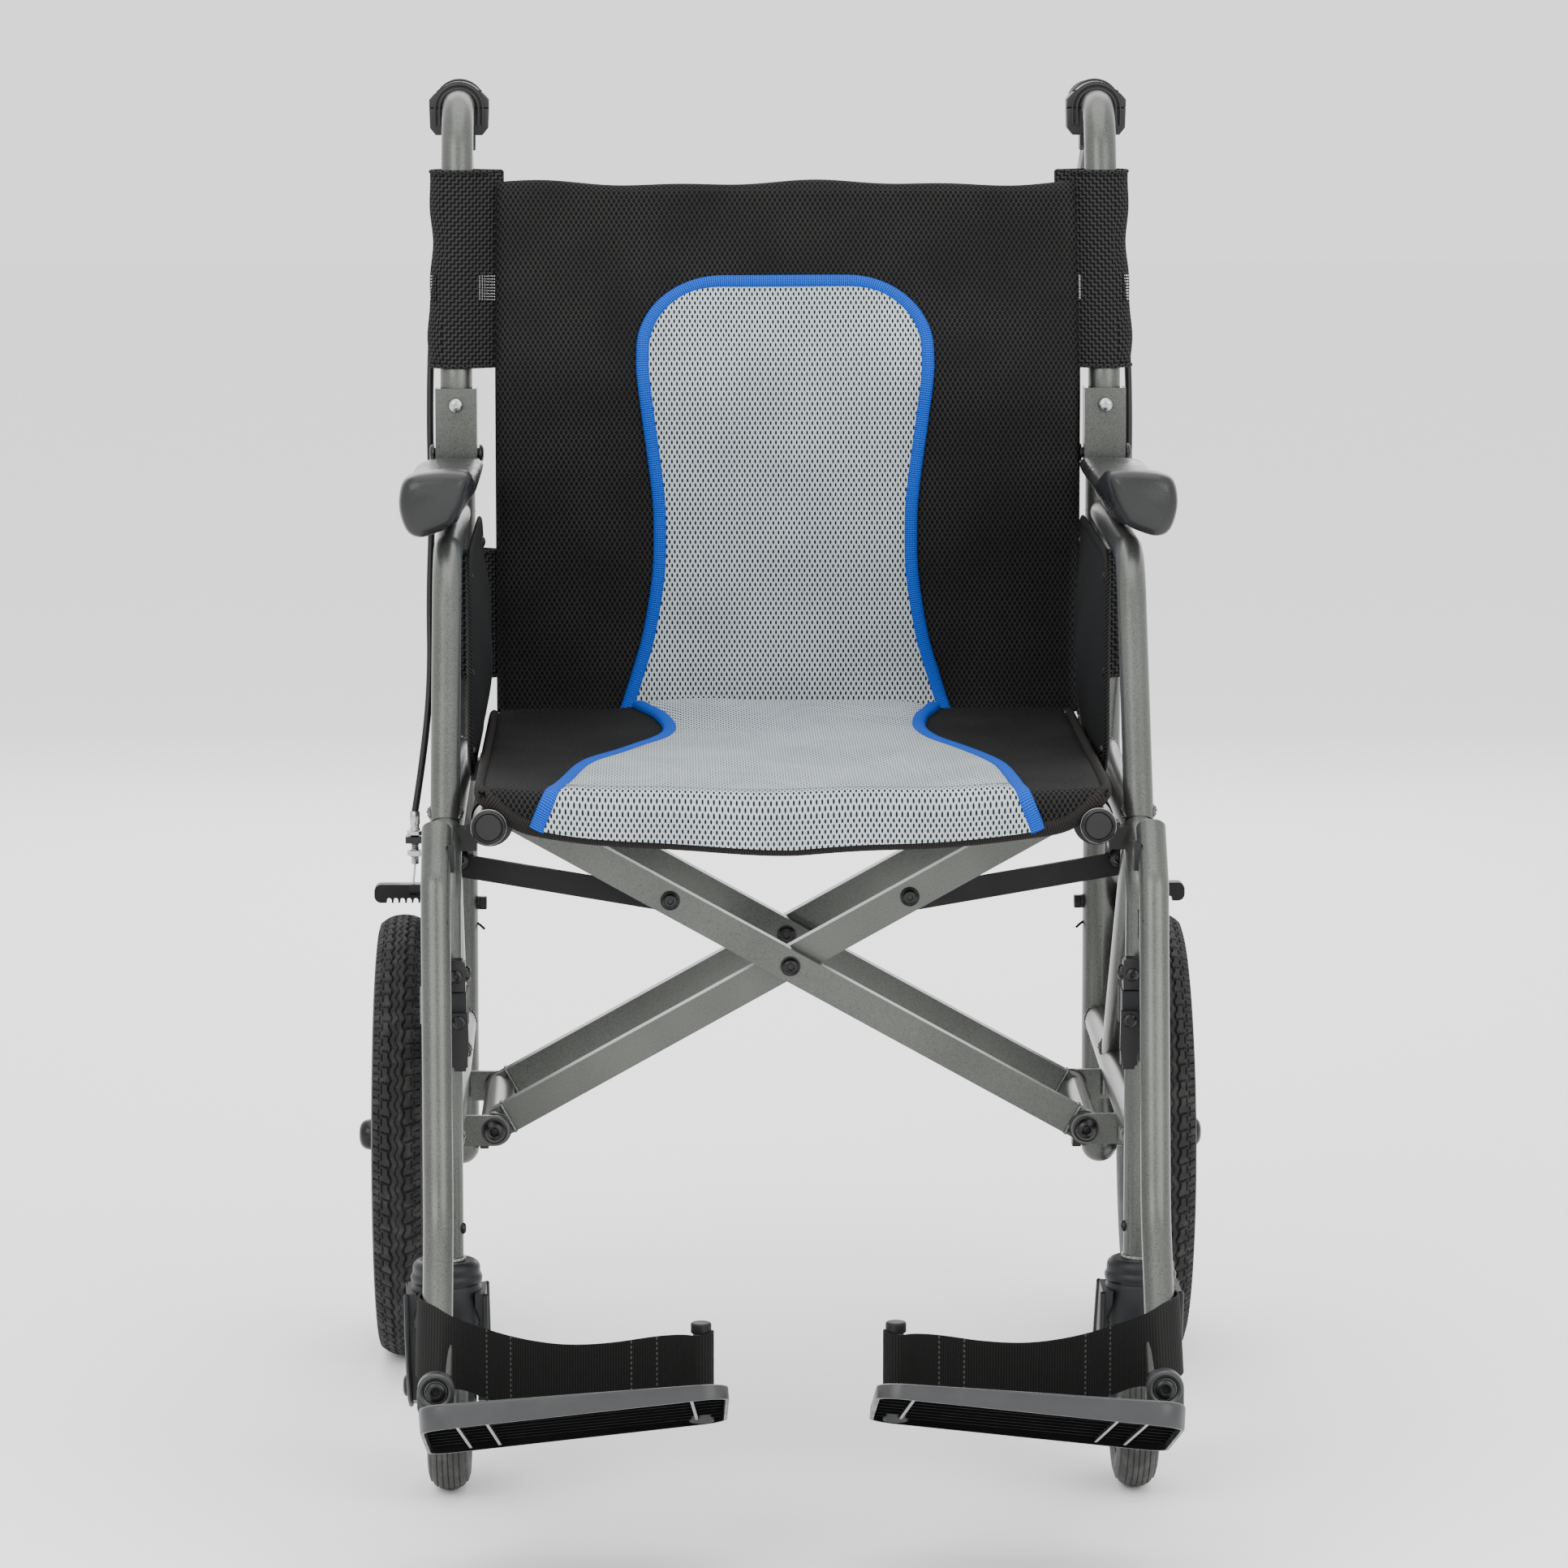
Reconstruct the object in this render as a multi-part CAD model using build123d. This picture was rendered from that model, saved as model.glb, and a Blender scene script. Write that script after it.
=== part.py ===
"""Folding transport wheelchair, in millimetres.

X runs across the chair (+X is the sitter's left), Y runs from front to back and Z is up.
Every part is drawn with the rear axle at Y = 0 and on the +X side; the -X side is its mirror image.
The saved solids are shifted along Y so that the origin is on the floor, under the middle of the chair.
"""

import os
from math import atan2, cos, degrees, hypot, pi, radians, sin, tan

from build123d import *

# ---- driving dimensions ----
FRONT_REACH = 723.5  # footplate front edge ahead of the rear axle
BACK_REACH = 195.0  # push grip end behind the rear axle
CENTRE_Y = (FRONT_REACH - BACK_REACH) / 2

GAP = 0.3  # clearance between parts that move past each other
FIT = 0.05  # radial clearance of a pin in its hole

REAR_X = 225.0  # centre plane of the rear post and the back cane
FRONT_X = 221.0  # centre plane of the front post
POST_R = 12.7
POST_WALL = 1.8
POST_BOTTOM_Z = 134.0
POST_TOP_Z = 646.0
TUBE_R = 11.1
TUBE_WALL = 1.6
FRONT_Y = -450.0  # front post, which is also the caster's swivel axis
UPPER_Z = 428.0
LOWER_Z = 237.0
FRONT_BEND = 38.0
STRUT_R = 9.5

WHEEL_R = 155.0
WHEEL_X = 264.6
TYRE_WIDTH = 36.0
RIM_R = 118.0
AXLE_R = 6.0
HUB_CAP_X = 297.0

CASTER_R = 67.0
CASTER_WIDTH = 27.0
CASTER_TRAIL = 50.0
FORK_TOP_Z = 160.5
FORK_WIDTH = 50.0

PIVOT_X = 192.5  # lower pivots of the cross frame
PIVOT_Z = 224.0
PIVOT_TUBE_R = 10.0
PIVOT_BOLT_R = 5.0
LUG_FRONT_Y = -345.0
LUG_REAR_Y = -188.0
LUG_T = 4.0
RAIL_X = 192.5  # seat rails
RAIL_Z = 438.0
RAIL_FRONT_Y = -450.0
RAIL_REAR_Y = -45.0
BAR_HEIGHT = 20.0
BAR_T = 12.0
BAR_A_Y = (-343.0, -215.0)  # front faces of brace A's two bars
BAR_B_Y = (-329.0, -201.0)  # front faces of brace B's two bars
BOLT_R = 4.0

LINK_OUT = (215.0, 397.5)  # X, Z of the link's pin on the side frame
LINK_IN = (78.0, 374.0)  # X, Z of the link's end on the brace
LINK_Y = -315.0
LINK_T = 5.0
LINK_ABOVE = 3.4
LINK_BELOW = 11.4
LINK_EYE_R = 6.5

ARM_R = 9.5
ARM_Z = 595.5
ARM_FRONT_Y = -405.0
PAD_Z = 605.3
PAD_TOP_Z = 635.0

BACK_HINGE_Z = 636.0
HINGE_PIN_R = 4.0
CANE_R = 11.1
GRIP_Z = 873.4
GRIP_R = 15.0
BRAKE_PIVOT_Z = 320.0
STOP_X = 255.0  # where the brake cable ends
STOP_Y = -28.0

HANGER_R = 9.3
PLATE_HINGE = (221.0, -651.0, 123.0)
PLATE_BOLT_R = 5.0
PLATE_IN_X = 44.0
PLATE_OUT_X = 230.0
PLATE_TILT = 19.0
PLATE_CANT = 4.0
PLATE_DEPTH = 153.0
PLATE_FRONT_Z = 129.0  # top of the outer front corner

BACK_HALF_WIDTH = 203.0
SEAT_HALF_WIDTH = 200.0


# ---- helpers ----
def side_x(y):
    """The side frame runs very slightly inwards towards the front."""
    return REAR_X + (FRONT_X - REAR_X) * y / FRONT_Y


def group(*shapes):
    """Separate solids of one node, left unjoined."""
    return Compound([solid for shape in shapes for solid in shape.solids()])


def cylinder(start, end, radius):
    """A round bar from start to end."""
    start, end = Vector(*start), Vector(*end)
    return extrude(Plane(start, z_dir=end - start) * Circle(radius), (end - start).length)


def swept(points, radius, bend):
    """A round bar along straight runs joined by arcs."""
    path = FilletPolyline(*points, radius=bend)
    return sweep(Plane(path @ 0, z_dir=path % 0) * Circle(radius), path=path)


def pipe(points, radius, wall, bend=None):
    """A hollow tube, straight between two points or bent through more."""
    if bend is None:
        return cylinder(*points, radius) - cylinder(*points, radius - wall)
    return swept(points, radius, bend) - swept(points, radius - wall, bend)


def block(x, y, z):
    """A box from three (low, high) pairs."""
    size = [high - low for low, high in (x, y, z)]
    middle = [(low + high) / 2 for low, high in (x, y, z)]
    return Pos(*middle) * Box(*size)


def along_y(x, z, front, back, radius):
    return cylinder((x, front, z), (x, back, z), radius)


def along_x(y, z, inner, outer, radius):
    return cylinder((inner, y, z), (outer, y, z), radius)


def hexagon_y(x, z, front, back, across):
    """A hexagonal head or nut with its axis along Y."""
    face = Plane((x, front, z), z_dir=(0, 1, 0)) * RegularPolygon(across / 2, 6, major_radius=False)
    return extrude(face, back - front)


def hexagon_x(y, z, inner, outer, across):
    """A hexagonal head or nut with its axis along X."""
    face = Plane((inner, y, z), z_dir=(1, 0, 0)) * RegularPolygon(across / 2, 6, major_radius=False)
    return extrude(face, outer - inner)


def profile_x(points, inner, outer):
    """An outline of (Y, Z) points, extruded along X."""
    face = make_face(Polyline(*[(inner, y, z) for y, z in points], close=True))
    return extrude(face, outer - inner, dir=(1, 0, 0))


def profile_y(points, front, back):
    """An outline of (X, Z) points, extruded along Y."""
    face = make_face(Polyline(*[(x, front, z) for x, z in points], close=True))
    return extrude(face, back - front, dir=(0, 1, 0))


def revolved_x(points, x, y, z):
    """An outline of (radius, X offset) points, turned about an axle along X."""
    face = make_face(Polyline(*[(across, radius) for radius, across in points], close=True))
    return Pos(x, y, z) * revolve(face, Axis.X)


def save(name, shape):
    export_step(Pos(0, CENTRE_Y, 0) * shape, f"parts/{name}.step")


def save_pair(name, shape):
    """The +X part as left_NAME and its mirror image as right_NAME."""
    save("left_" + name, shape)
    save("right_" + name, mirror(shape, about=Plane.YZ))


# ---- side frame ----
def front_post_path(radius):
    points = [(FRONT_X, FRONT_Y, FORK_TOP_Z + 0.5), (FRONT_X, FRONT_Y, UPPER_Z)]
    points.append((side_x(-400), -400, UPPER_Z))
    return swept(points, radius, FRONT_BEND)


def upper_rail_bar(radius):
    return cylinder((side_x(-400), -400, UPPER_Z), (REAR_X, 0, UPPER_Z), radius)


def lower_rail_bar(radius):
    return cylinder((FRONT_X, FRONT_Y, LOWER_Z), (REAR_X, 0, LOWER_Z), radius)


def rear_post_bar():
    return cylinder((REAR_X, 0, POST_BOTTOM_Z), (REAR_X, 0, POST_TOP_Z), POST_R)


def rear_post():
    """A tube with a domed foot; its top is rounded about the hinge pin, so that the cane's channel clears it."""
    inner = POST_R - POST_WALL
    floor = POST_BOTTOM_Z + 14
    outline = Polyline(
        (0, floor), (inner, floor), (inner, POST_TOP_Z), (POST_R, POST_TOP_Z), (POST_R, POST_BOTTOM_Z + POST_R)
    )
    dome = RadiusArc((POST_R, POST_BOTTOM_Z + POST_R), (0, POST_BOTTOM_Z), POST_R)
    face = make_face(outline + dome + Line((0, POST_BOTTOM_Z), (0, floor)))
    post = Pos(REAR_X, 0, 0) * revolve(Plane.XZ * face, Axis.Z)
    post -= along_x(0, WHEEL_R, 200, 250, AXLE_R + FIT)
    post -= along_x(0, BRAKE_PIVOT_Z, 200, 250, BOLT_R + FIT)
    crown = block((200, 250), (-20, 20), (BACK_HINGE_Z, 700)) - along_x(0, BACK_HINGE_Z, 200, 250, POST_R)
    return post - crown - along_x(0, BACK_HINGE_Z, 200, 250, HINGE_PIN_R + FIT)


def front_post():
    post = front_post_path(TUBE_R) - front_post_path(TUBE_R - TUBE_WALL)
    bearing_top = FORK_TOP_Z + 40
    bearing = cylinder((FRONT_X, FRONT_Y, FORK_TOP_Z + 0.5), (FRONT_X, FRONT_Y, bearing_top), TUBE_R - 1)
    stem_hole = cylinder((FRONT_X, FRONT_Y, FORK_TOP_Z), (FRONT_X, FRONT_Y, bearing_top), AXLE_R + FIT)
    return post + (bearing - stem_hole)


def upper_rail():
    return upper_rail_bar(TUBE_R) - upper_rail_bar(TUBE_R - TUBE_WALL) - rear_post_bar()


def lug(front):
    """A plate from the lower rail to the cross frame's pivot."""
    eye = along_y(PIVOT_X, PIVOT_Z, front, front + LUG_T, PIVOT_TUBE_R)
    arm = block((PIVOT_X, side_x(front)), (front, front + LUG_T), (PIVOT_Z - PIVOT_TUBE_R, PIVOT_Z + PIVOT_TUBE_R))
    hole = along_y(PIVOT_X, PIVOT_Z, front - 1, front + LUG_T + 1, PIVOT_BOLT_R + FIT)
    return eye + arm - hole - lower_rail_bar(TUBE_R)


def lower_rail():
    """The lower rail with the diagonal strut and the lugs that are welded to it."""
    rail = lower_rail_bar(TUBE_R) - lower_rail_bar(TUBE_R - TUBE_WALL)
    rail -= rear_post_bar() + front_post_path(TUBE_R)
    ends = [(side_x(-390), -390, UPPER_Z - 3), (side_x(-160), -160, LOWER_Z - 7)]
    strut = cylinder(*ends, STRUT_R) - cylinder(*ends, STRUT_R - TUBE_WALL)
    strut -= upper_rail_bar(TUBE_R) + lower_rail_bar(TUBE_R)
    link_back = LINK_Y + LINK_T + GAP
    x, z = LINK_OUT
    link_lug = block((x - 9, x + 9), (link_back, link_back + 3), (z - 9, UPPER_Z - 5))
    link_lug -= upper_rail_bar(TUBE_R) + along_y(x, z, link_back - 1, link_back + 5, BOLT_R + FIT)
    return group(rail, strut, lug(LUG_FRONT_Y - LUG_T), lug(LUG_REAR_Y), link_lug)


def rail_saddles():
    """Two cradles that the seat rail drops into when the chair is open."""
    saddles = []
    for front in (-430, -100):
        ring = along_y(RAIL_X, RAIL_Z, front, front + 18, TUBE_R + 4)
        ring &= block((RAIL_X - 20, RAIL_X + 20), (front, front + 18), (RAIL_Z - 20, RAIL_Z - 1))
        arm = block((RAIL_X + 8, side_x(front)), (front, front + 18), (UPPER_Z - 8, UPPER_Z + 6))
        seat = along_y(RAIL_X, RAIL_Z, front - 1, front + 19, TUBE_R + GAP)
        saddles.append(ring + arm - seat - upper_rail_bar(TUBE_R) - front_post_path(TUBE_R))
    return group(*saddles)


def side_bolts():
    """Axle with its domed cap, brake pivot bolt, lower pivot bolt, link bolt and back hinge pin."""
    hub_face = WHEEL_X + 17.5
    axle = along_x(0, WHEEL_R, 206, hub_face + 2, AXLE_R)
    axle += along_x(0, WHEEL_R, REAR_X + POST_R + 0.1, WHEEL_X - 18, 10)
    axle += hexagon_x(0, WHEEL_R, 205, 212, 19)
    cap_face = hub_face + 0.4
    cap_length = HUB_CAP_X - cap_face
    dome = [(0, 0), (0, cap_length), (6, cap_length - 1), (9.5, cap_length - 3.5), (11, cap_length - 7), (11, 0)]
    cap = revolved_x(dome, cap_face, 0, WHEEL_R)
    brake = along_x(0, BRAKE_PIVOT_Z, 208, 246, BOLT_R) + hexagon_x(0, BRAKE_PIVOT_Z, 206, 211, 9)
    brake += hexagon_x(0, BRAKE_PIVOT_Z, 245.2, 249, 11)
    pivot = along_y(PIVOT_X, PIVOT_Z, LUG_FRONT_Y - LUG_T - 1, LUG_REAR_Y + LUG_T + 1, PIVOT_BOLT_R)
    pivot += hexagon_y(PIVOT_X, PIVOT_Z, LUG_FRONT_Y - LUG_T - 6, LUG_FRONT_Y - LUG_T, 13)
    pivot += hexagon_y(PIVOT_X, PIVOT_Z, LUG_REAR_Y + LUG_T, LUG_REAR_Y + LUG_T + 6, 13)
    x, z = LINK_OUT
    link = along_y(x, z, LINK_Y - 3, LINK_Y + 12, BOLT_R) + hexagon_y(x, z, LINK_Y - 4, LINK_Y - GAP, 12)
    link += hexagon_y(x, z, LINK_Y + LINK_T + 3 + GAP, LINK_Y + LINK_T + 8, 12)
    hinge = along_x(0, BACK_HINGE_Z, REAR_X - 17, REAR_X + 17, HINGE_PIN_R)
    return group(axle + cap, brake, pivot, link, hinge)


# ---- armrest ----
def armrest_tube():
    points = [(side_x(0), 0, ARM_Z), (side_x(-300), -300, ARM_Z), (side_x(ARM_FRONT_Y), ARM_FRONT_Y, UPPER_Z + 6)]
    tube = pipe(points, ARM_R, TUBE_WALL, bend=60)
    return tube - rear_post_bar() - upper_rail_bar(TUBE_R) - front_post_path(TUBE_R)


def arm_pad():
    """A moulded pad that is deepest at its front end."""
    top = [(-30, PAD_TOP_Z - 8), (-42, PAD_TOP_Z - 2), (-200, PAD_TOP_Z), (-262, PAD_TOP_Z + 9)]
    nose = [(-284, PAD_TOP_Z + 12), (-294, PAD_TOP_Z + 6), (-297, PAD_Z + 10), (-290, PAD_Z)]
    inner, outer = 204.5, 254
    pad = profile_x([(-30, PAD_Z)] + top + nose, inner, outer)
    sides = pad.edges().filter_by(lambda edge: not inner + 1 < edge.center().X < outer - 1)
    return chamfer([edge for edge in sides if edge.center().Z > PAD_TOP_Z - 3], 5)


def skirt_guard():
    outline = [(-25, 590), (-262, 590), (-282, 570), (-282, 470), (-258, 447), (-25, 447)]
    return profile_x(outline, 207.5, 210)


# ---- folding back ----
def cane_points():
    return [(REAR_X, 0, 657), (REAR_X, 0, 690), (REAR_X, 66, GRIP_Z), (REAR_X, BACK_REACH - 5, GRIP_Z)]


def cane():
    return pipe(cane_points(), CANE_R, TUBE_WALL, bend=[60, 45])


def cane_hinge():
    """A channel, open at the back, that is screwed to the cane and turns on the top of the rear post."""
    half, sheet, back = POST_R + GAP, 1.3, 10
    low, high = BACK_HINGE_Z - 12, 682
    outline = [(-half - sheet, low + 8), (-half - sheet, high), (back, high), (back, low), (-half + 6, low)]
    channel = profile_x(outline, REAR_X - half - sheet, REAR_X + half + sheet)
    channel -= block((REAR_X - half, REAR_X + half), (-half, back + 1), (low - 1, high + 1))
    channel -= along_x(0, BACK_HINGE_Z, 200, 250, HINGE_PIN_R + FIT)
    spacer = block((REAR_X - half, REAR_X + half), (-half, back), (660, 680))
    spacer -= cylinder((REAR_X, 0, 650), (REAR_X, 0, 690), CANE_R + FIT)
    screw = along_y(REAR_X, 670.5, -half - sheet - 2.2, -half - sheet, 4)
    return channel + spacer + screw


def grip():
    start = 119.0
    body = along_y(REAR_X, GRIP_Z, start, BACK_REACH, GRIP_R)
    body = fillet(body.edges().filter_by(GeomType.CIRCLE), 3)
    return body - along_y(REAR_X, GRIP_Z, start - 1, BACK_REACH - 5 + FIT, CANE_R + FIT)


def brake_housing():
    """A clamp around the cane, 43 wide, with two ears that hold the hand lever's pin."""
    front, back = 99.0, 118.5
    body = along_y(REAR_X, GRIP_Z, front, back, 18.5)
    body += block((REAR_X - 21.5, REAR_X + 21.5), (front, back), (GRIP_Z - 18.4, GRIP_Z + 6))
    for inner in (213.5, 221.4):
        body += block((inner, inner + 3), (front + 1, back - 1), (842, 862))
    body -= along_y(REAR_X, GRIP_Z, front - 1, back + 1, CANE_R + FIT)
    return body + along_x(109, 849, 213.5, 224.4, 2.5)


def brake_lever():
    """A flat blade that hangs behind and below the housing and is squeezed up to the grip."""
    outline = [(103, 843), (103, 854), (113, 854), (150, 839), (190, 823), (193, 813), (188, 810), (145, 826)]
    blade = profile_x(outline, 216.5 + GAP, 221.4 - GAP)
    return blade - along_x(109, 849, 210, 226, 2.5 + FIT)


CABLE_R = 2.5
CABLE = [
    (231, 106, 852),
    (235, 94, 806),
    (241, 66, 756),
    (244, 38, 706),
    (244.5, 24, 650),
    (243, 19, 592),
    (245, 8, 536),
    (244, -4, 482),
    (248, -20, 432),
    (STOP_X, STOP_Y, 388),
]


def cable_radii():
    """Each arc is as large as its two runs allow: 0.45 of the shorter run over tan of half the turn."""
    radii = []
    for before, at, after in zip(CABLE, CABLE[1:], CABLE[2:]):
        first = Vector(*at) - Vector(*before)
        second = Vector(*after) - Vector(*at)
        half_turn = radians(first.get_angle(second)) / 2
        radii.append(0.45 * min(first.length, second.length) / tan(half_turn))
    return radii


def brake_cable():
    radii = cable_radii()
    path = FilletPolyline(*CABLE, radius=radii)
    tube = sweep(Plane(path @ 0, z_dir=path % 0) * Circle(CABLE_R), path=path)
    print("cable length", round(path.length, 1), "radii", [round(radius) for radius in radii])
    print("cable volume", round(tube.volume), "section x length", round(pi * CABLE_R**2 * path.length))
    return tube


def cable_stop():
    """The ferrule, bracket, threaded barrel and nuts that the cable ends in."""
    ferrule = cylinder((STOP_X, STOP_Y, 373), (STOP_X, STOP_Y, 388), 3.6)
    barrel = cylinder((STOP_X, STOP_Y, 357), (STOP_X, STOP_Y, 373), 3)
    nut = Pos(STOP_X, STOP_Y, 358) * extrude(RegularPolygon(5, 6, major_radius=False), 4)
    plate = block((side_x(STOP_Y) + 6, STOP_X + 6), (STOP_Y - 7, STOP_Y + 7), (367, 372))
    stay = block((side_x(STOP_Y) + 6, side_x(STOP_Y) + 9), (STOP_Y - 7, STOP_Y + 7), (367, UPPER_Z))
    stay -= upper_rail_bar(TUBE_R)
    return ferrule + barrel + nut + plate + stay


def brake_shoe():
    """A rocker on the rear post: the cable lifts its front end and the toothed bar drops on the tyre."""
    inner, outer = 240.6, 244.9
    outline = [(-36, 328), (-36, 340), (-26, 340), (6, 330), (34, 330), (34, 316.5), (20, 316.5), (8, 311)]
    outline += [(-8, 311)]
    shoe = profile_x(outline, inner, outer)
    shoe -= along_x(0, BRAKE_PIVOT_Z, 230, 260, BOLT_R + FIT)
    bar = block((inner, 286), (22, 34), (316.5, 329.5))
    bar = fillet(bar.edges().filter_by(Axis.Y).sort_by(Axis.X)[-2:], 5)
    pitch = 4.7
    for tooth in range(6):
        x = 252 + tooth * pitch
        bar -= along_y(x, 318.2, 21, 35, 1.7) + block((x - 1.7, x + 1.7), (21, 35), (315, 318.2))
    return shoe + bar + along_x(-31, 334, outer, STOP_X + 4, 4)


# ---- wheels ----
def rear_tyre():
    half, shoulder = TYRE_WIDTH / 2, WHEEL_R - 9
    outline = [(RIM_R, -half + 6), (RIM_R + 8, -half), (shoulder, -half + 1.5), (WHEEL_R - 2, -half + 8)]
    outline += [(WHEEL_R, -half + 14)]
    outline += [(radius, -across) for radius, across in reversed(outline)]
    return revolved_x(outline, WHEEL_X, 0, WHEEL_R)


def rear_rim():
    """Moulded six-spoke rim."""
    spokes, hub_half = 6, 17.5
    ring = revolved_x([(RIM_R - 12, -13), (RIM_R, -13), (RIM_R, 13), (RIM_R - 12, 13)], WHEEL_X, 0, WHEEL_R)
    hub = along_x(0, WHEEL_R, WHEEL_X - hub_half, WHEEL_X + hub_half, 22)
    rim = ring + hub
    for turn in range(spokes):
        spoke = block((-6, 6), (-10, 10), (18, RIM_R - 10))
        rim += Pos(WHEEL_X, 0, WHEEL_R) * Rot(X=360 * turn / spokes) * spoke
    return rim - along_x(0, WHEEL_R, WHEEL_X - 30, WHEEL_X + 30, AXLE_R + FIT)


def caster_fork():
    """Bell-shaped crown with a stem in the front post, and two legs that trail to the wheel's axle."""
    axle_y = FRONT_Y + CASTER_TRAIL
    crown = cylinder((FRONT_X, FRONT_Y, 118), (FRONT_X, FRONT_Y, FORK_TOP_Z), 21.5)
    crown = fillet(crown.edges().group_by(Axis.Z)[-1], 5)
    outline = [(-469, 142), (-431, 142), (-405, 108), (-388, 72), (-391, 59), (-400, 55), (-412, 60), (-440, 96)]
    legs = profile_x(outline, FRONT_X - FORK_WIDTH / 2, FRONT_X + FORK_WIDTH / 2)
    inside = CASTER_WIDTH / 2 + 5
    legs -= block((FRONT_X - inside, FRONT_X + inside), (-500, -350), (40, 143))
    fork = crown + legs
    clear = CASTER_WIDTH / 2 + 2
    fork -= along_x(axle_y, CASTER_R, FRONT_X - clear, FRONT_X + clear, CASTER_R + 3)
    axle = along_x(axle_y, CASTER_R, FRONT_X - 28, FRONT_X + 28, BOLT_R)
    for end in (-1, 1):
        low, high = sorted((FRONT_X + end * 25, FRONT_X + end * 29))
        axle += along_x(axle_y, CASTER_R, low, high, 6)
    return fork + axle + cylinder((FRONT_X, FRONT_Y, 150), (FRONT_X, FRONT_Y, FORK_TOP_Z + 38), AXLE_R)


def caster_wheel():
    half = CASTER_WIDTH / 2
    outline = [(22, -half + 3), (26, -half + 5), (46, -half + 5), (50, -half), (58, -half), (64, -half + 3)]
    outline += [(CASTER_R, -half + 8.5)]
    outline += [(radius, -across) for radius, across in reversed(outline)]
    y, x = FRONT_Y + CASTER_TRAIL, FRONT_X
    wheel = revolved_x(outline, x, y, CASTER_R)
    wheel += along_x(y, CASTER_R, x - half - 4, x + half + 4, 12)
    wheel += along_x(y, CASTER_R, x - half + 3, x + half - 3, 23)
    return wheel - along_x(y, CASTER_R, x - 30, x + 30, BOLT_R + FIT)


# ---- swing-away footrest ----
HANGER = [(225, -458, 438), (225, -488, 406), (222, -560, 210), (221, -634, 125)]


def hanger_tube():
    """The bent tube, the eye for the footplate's bolt and the stay to the lower saddle."""
    x, y, z = PLATE_HINGE
    tube = pipe(HANGER, HANGER_R, TUBE_WALL, bend=[22, 110])
    bar = swept(HANGER, HANGER_R, [22, 110])
    eye = along_y(x, z, y, y + 22, HANGER_R)
    bolt = along_y(x, z, y - 7, y + 2, PLATE_BOLT_R)
    bolt += along_y(x, z, y - 9.5, y - 7, 7)
    stay = swept([(225, -528, 290), (224.5, -500, 318), (223.5, -468, 325)], 4.5, 14) - bar
    return group(tube + eye + bolt, stay - saddle_block())


def saddle_block():
    """The moulded block in front of the post that carries the latch."""
    body = cylinder((FRONT_X, FRONT_Y, 313), (FRONT_X, FRONT_Y, 336), 15.5)
    return body + block((206.5, 226), (-474, FRONT_Y), (313, 336))


def hanger_saddles():
    post = cylinder((FRONT_X, FRONT_Y, 200), (FRONT_X, FRONT_Y, 400), TUBE_R + FIT)
    bar = swept(HANGER, HANGER_R, [22, 110])
    cradle = block((FRONT_X - 4, FRONT_X + 7), (-502, FRONT_Y), (368, 386))
    hook = block((213.2, 217.5), (-476, -460), (413, 430))
    lower = saddle_block() + along_y(211, 318, -481, -473, 3)
    return group(cradle - post - bar, hook - bar, lower - post)


def hanger_latch():
    """Release lever, hung from the lower saddle block."""
    outline = [(205.5, 324), (216.5, 324), (217, 300), (214, 287), (207, 287), (205, 300)]
    lever = profile_y(outline, -479, -474 - GAP)
    return lever - along_y(211, 318, -490, -460, 3 + FIT)


def plate_place():
    """From the footplate's own axes (origin at the top of its outer front corner) to the chair's."""
    return Pos(PLATE_OUT_X, 4.5 - FRONT_REACH, PLATE_FRONT_Z) * Rot(X=-PLATE_TILT) * Rot(Y=PLATE_CANT)


def footplate():
    """A tray that is open below, with ribs, a hinge ear at the outer end and a stub for the heel strap."""
    width, thick, rim, rim_wall = PLATE_OUT_X - PLATE_IN_X, 3.0, 15.0, 2.6
    outline = Pos(-width / 2, PLATE_DEPTH / 2) * RectangleRounded(width, PLATE_DEPTH, 17)
    inside = Pos(-width / 2, PLATE_DEPTH / 2) * RectangleRounded(
        width - 2 * rim_wall, PLATE_DEPTH - 2 * rim_wall, 17 - rim_wall
    )
    tray = extrude(outline, -rim) - Pos(0, 0, -thick) * extrude(inside, -rim)
    ribs = Part()
    for row in (1, 2, 3):
        y = PLATE_DEPTH * row / 4
        ribs += block((-width + 1, -1), (y - 1, y + 1), (-rim + 2, -thick + 0.5))
    for column in (1, 2, 3, 4, 5):
        x = -width * column / 6
        ribs += block((x - 1, x + 1), (1, PLATE_DEPTH - 1), (-rim + 3, -thick + 0.5))
    plate = plate_place() * (tray + (ribs & extrude(outline, -rim)))
    x, y, z = PLATE_HINGE
    front, back = y - 10, y - GAP
    ear = along_y(x, z, front, back, 11) + block((x - 11, x + 8), (front, back), (z - 16, z))
    plate += ear
    plate -= along_y(x, z, front - 1, back + 1, PLATE_BOLT_R + FIT)
    plate -= along_y(x, z, front - 1, y - 6.5, 7 + GAP)
    stub = cylinder((60, -590, 90), (60, -590, 149), 5)
    return plate + stub


def heel_strap():
    """Webbing that bows backwards from the hanger tube to the stub."""
    arc = ThreePointArc((206, -592), (140, -560), (67, -588))
    band = trace(arc, 3)
    return Pos(0, 0, 104) * extrude(band, 42)


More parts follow.
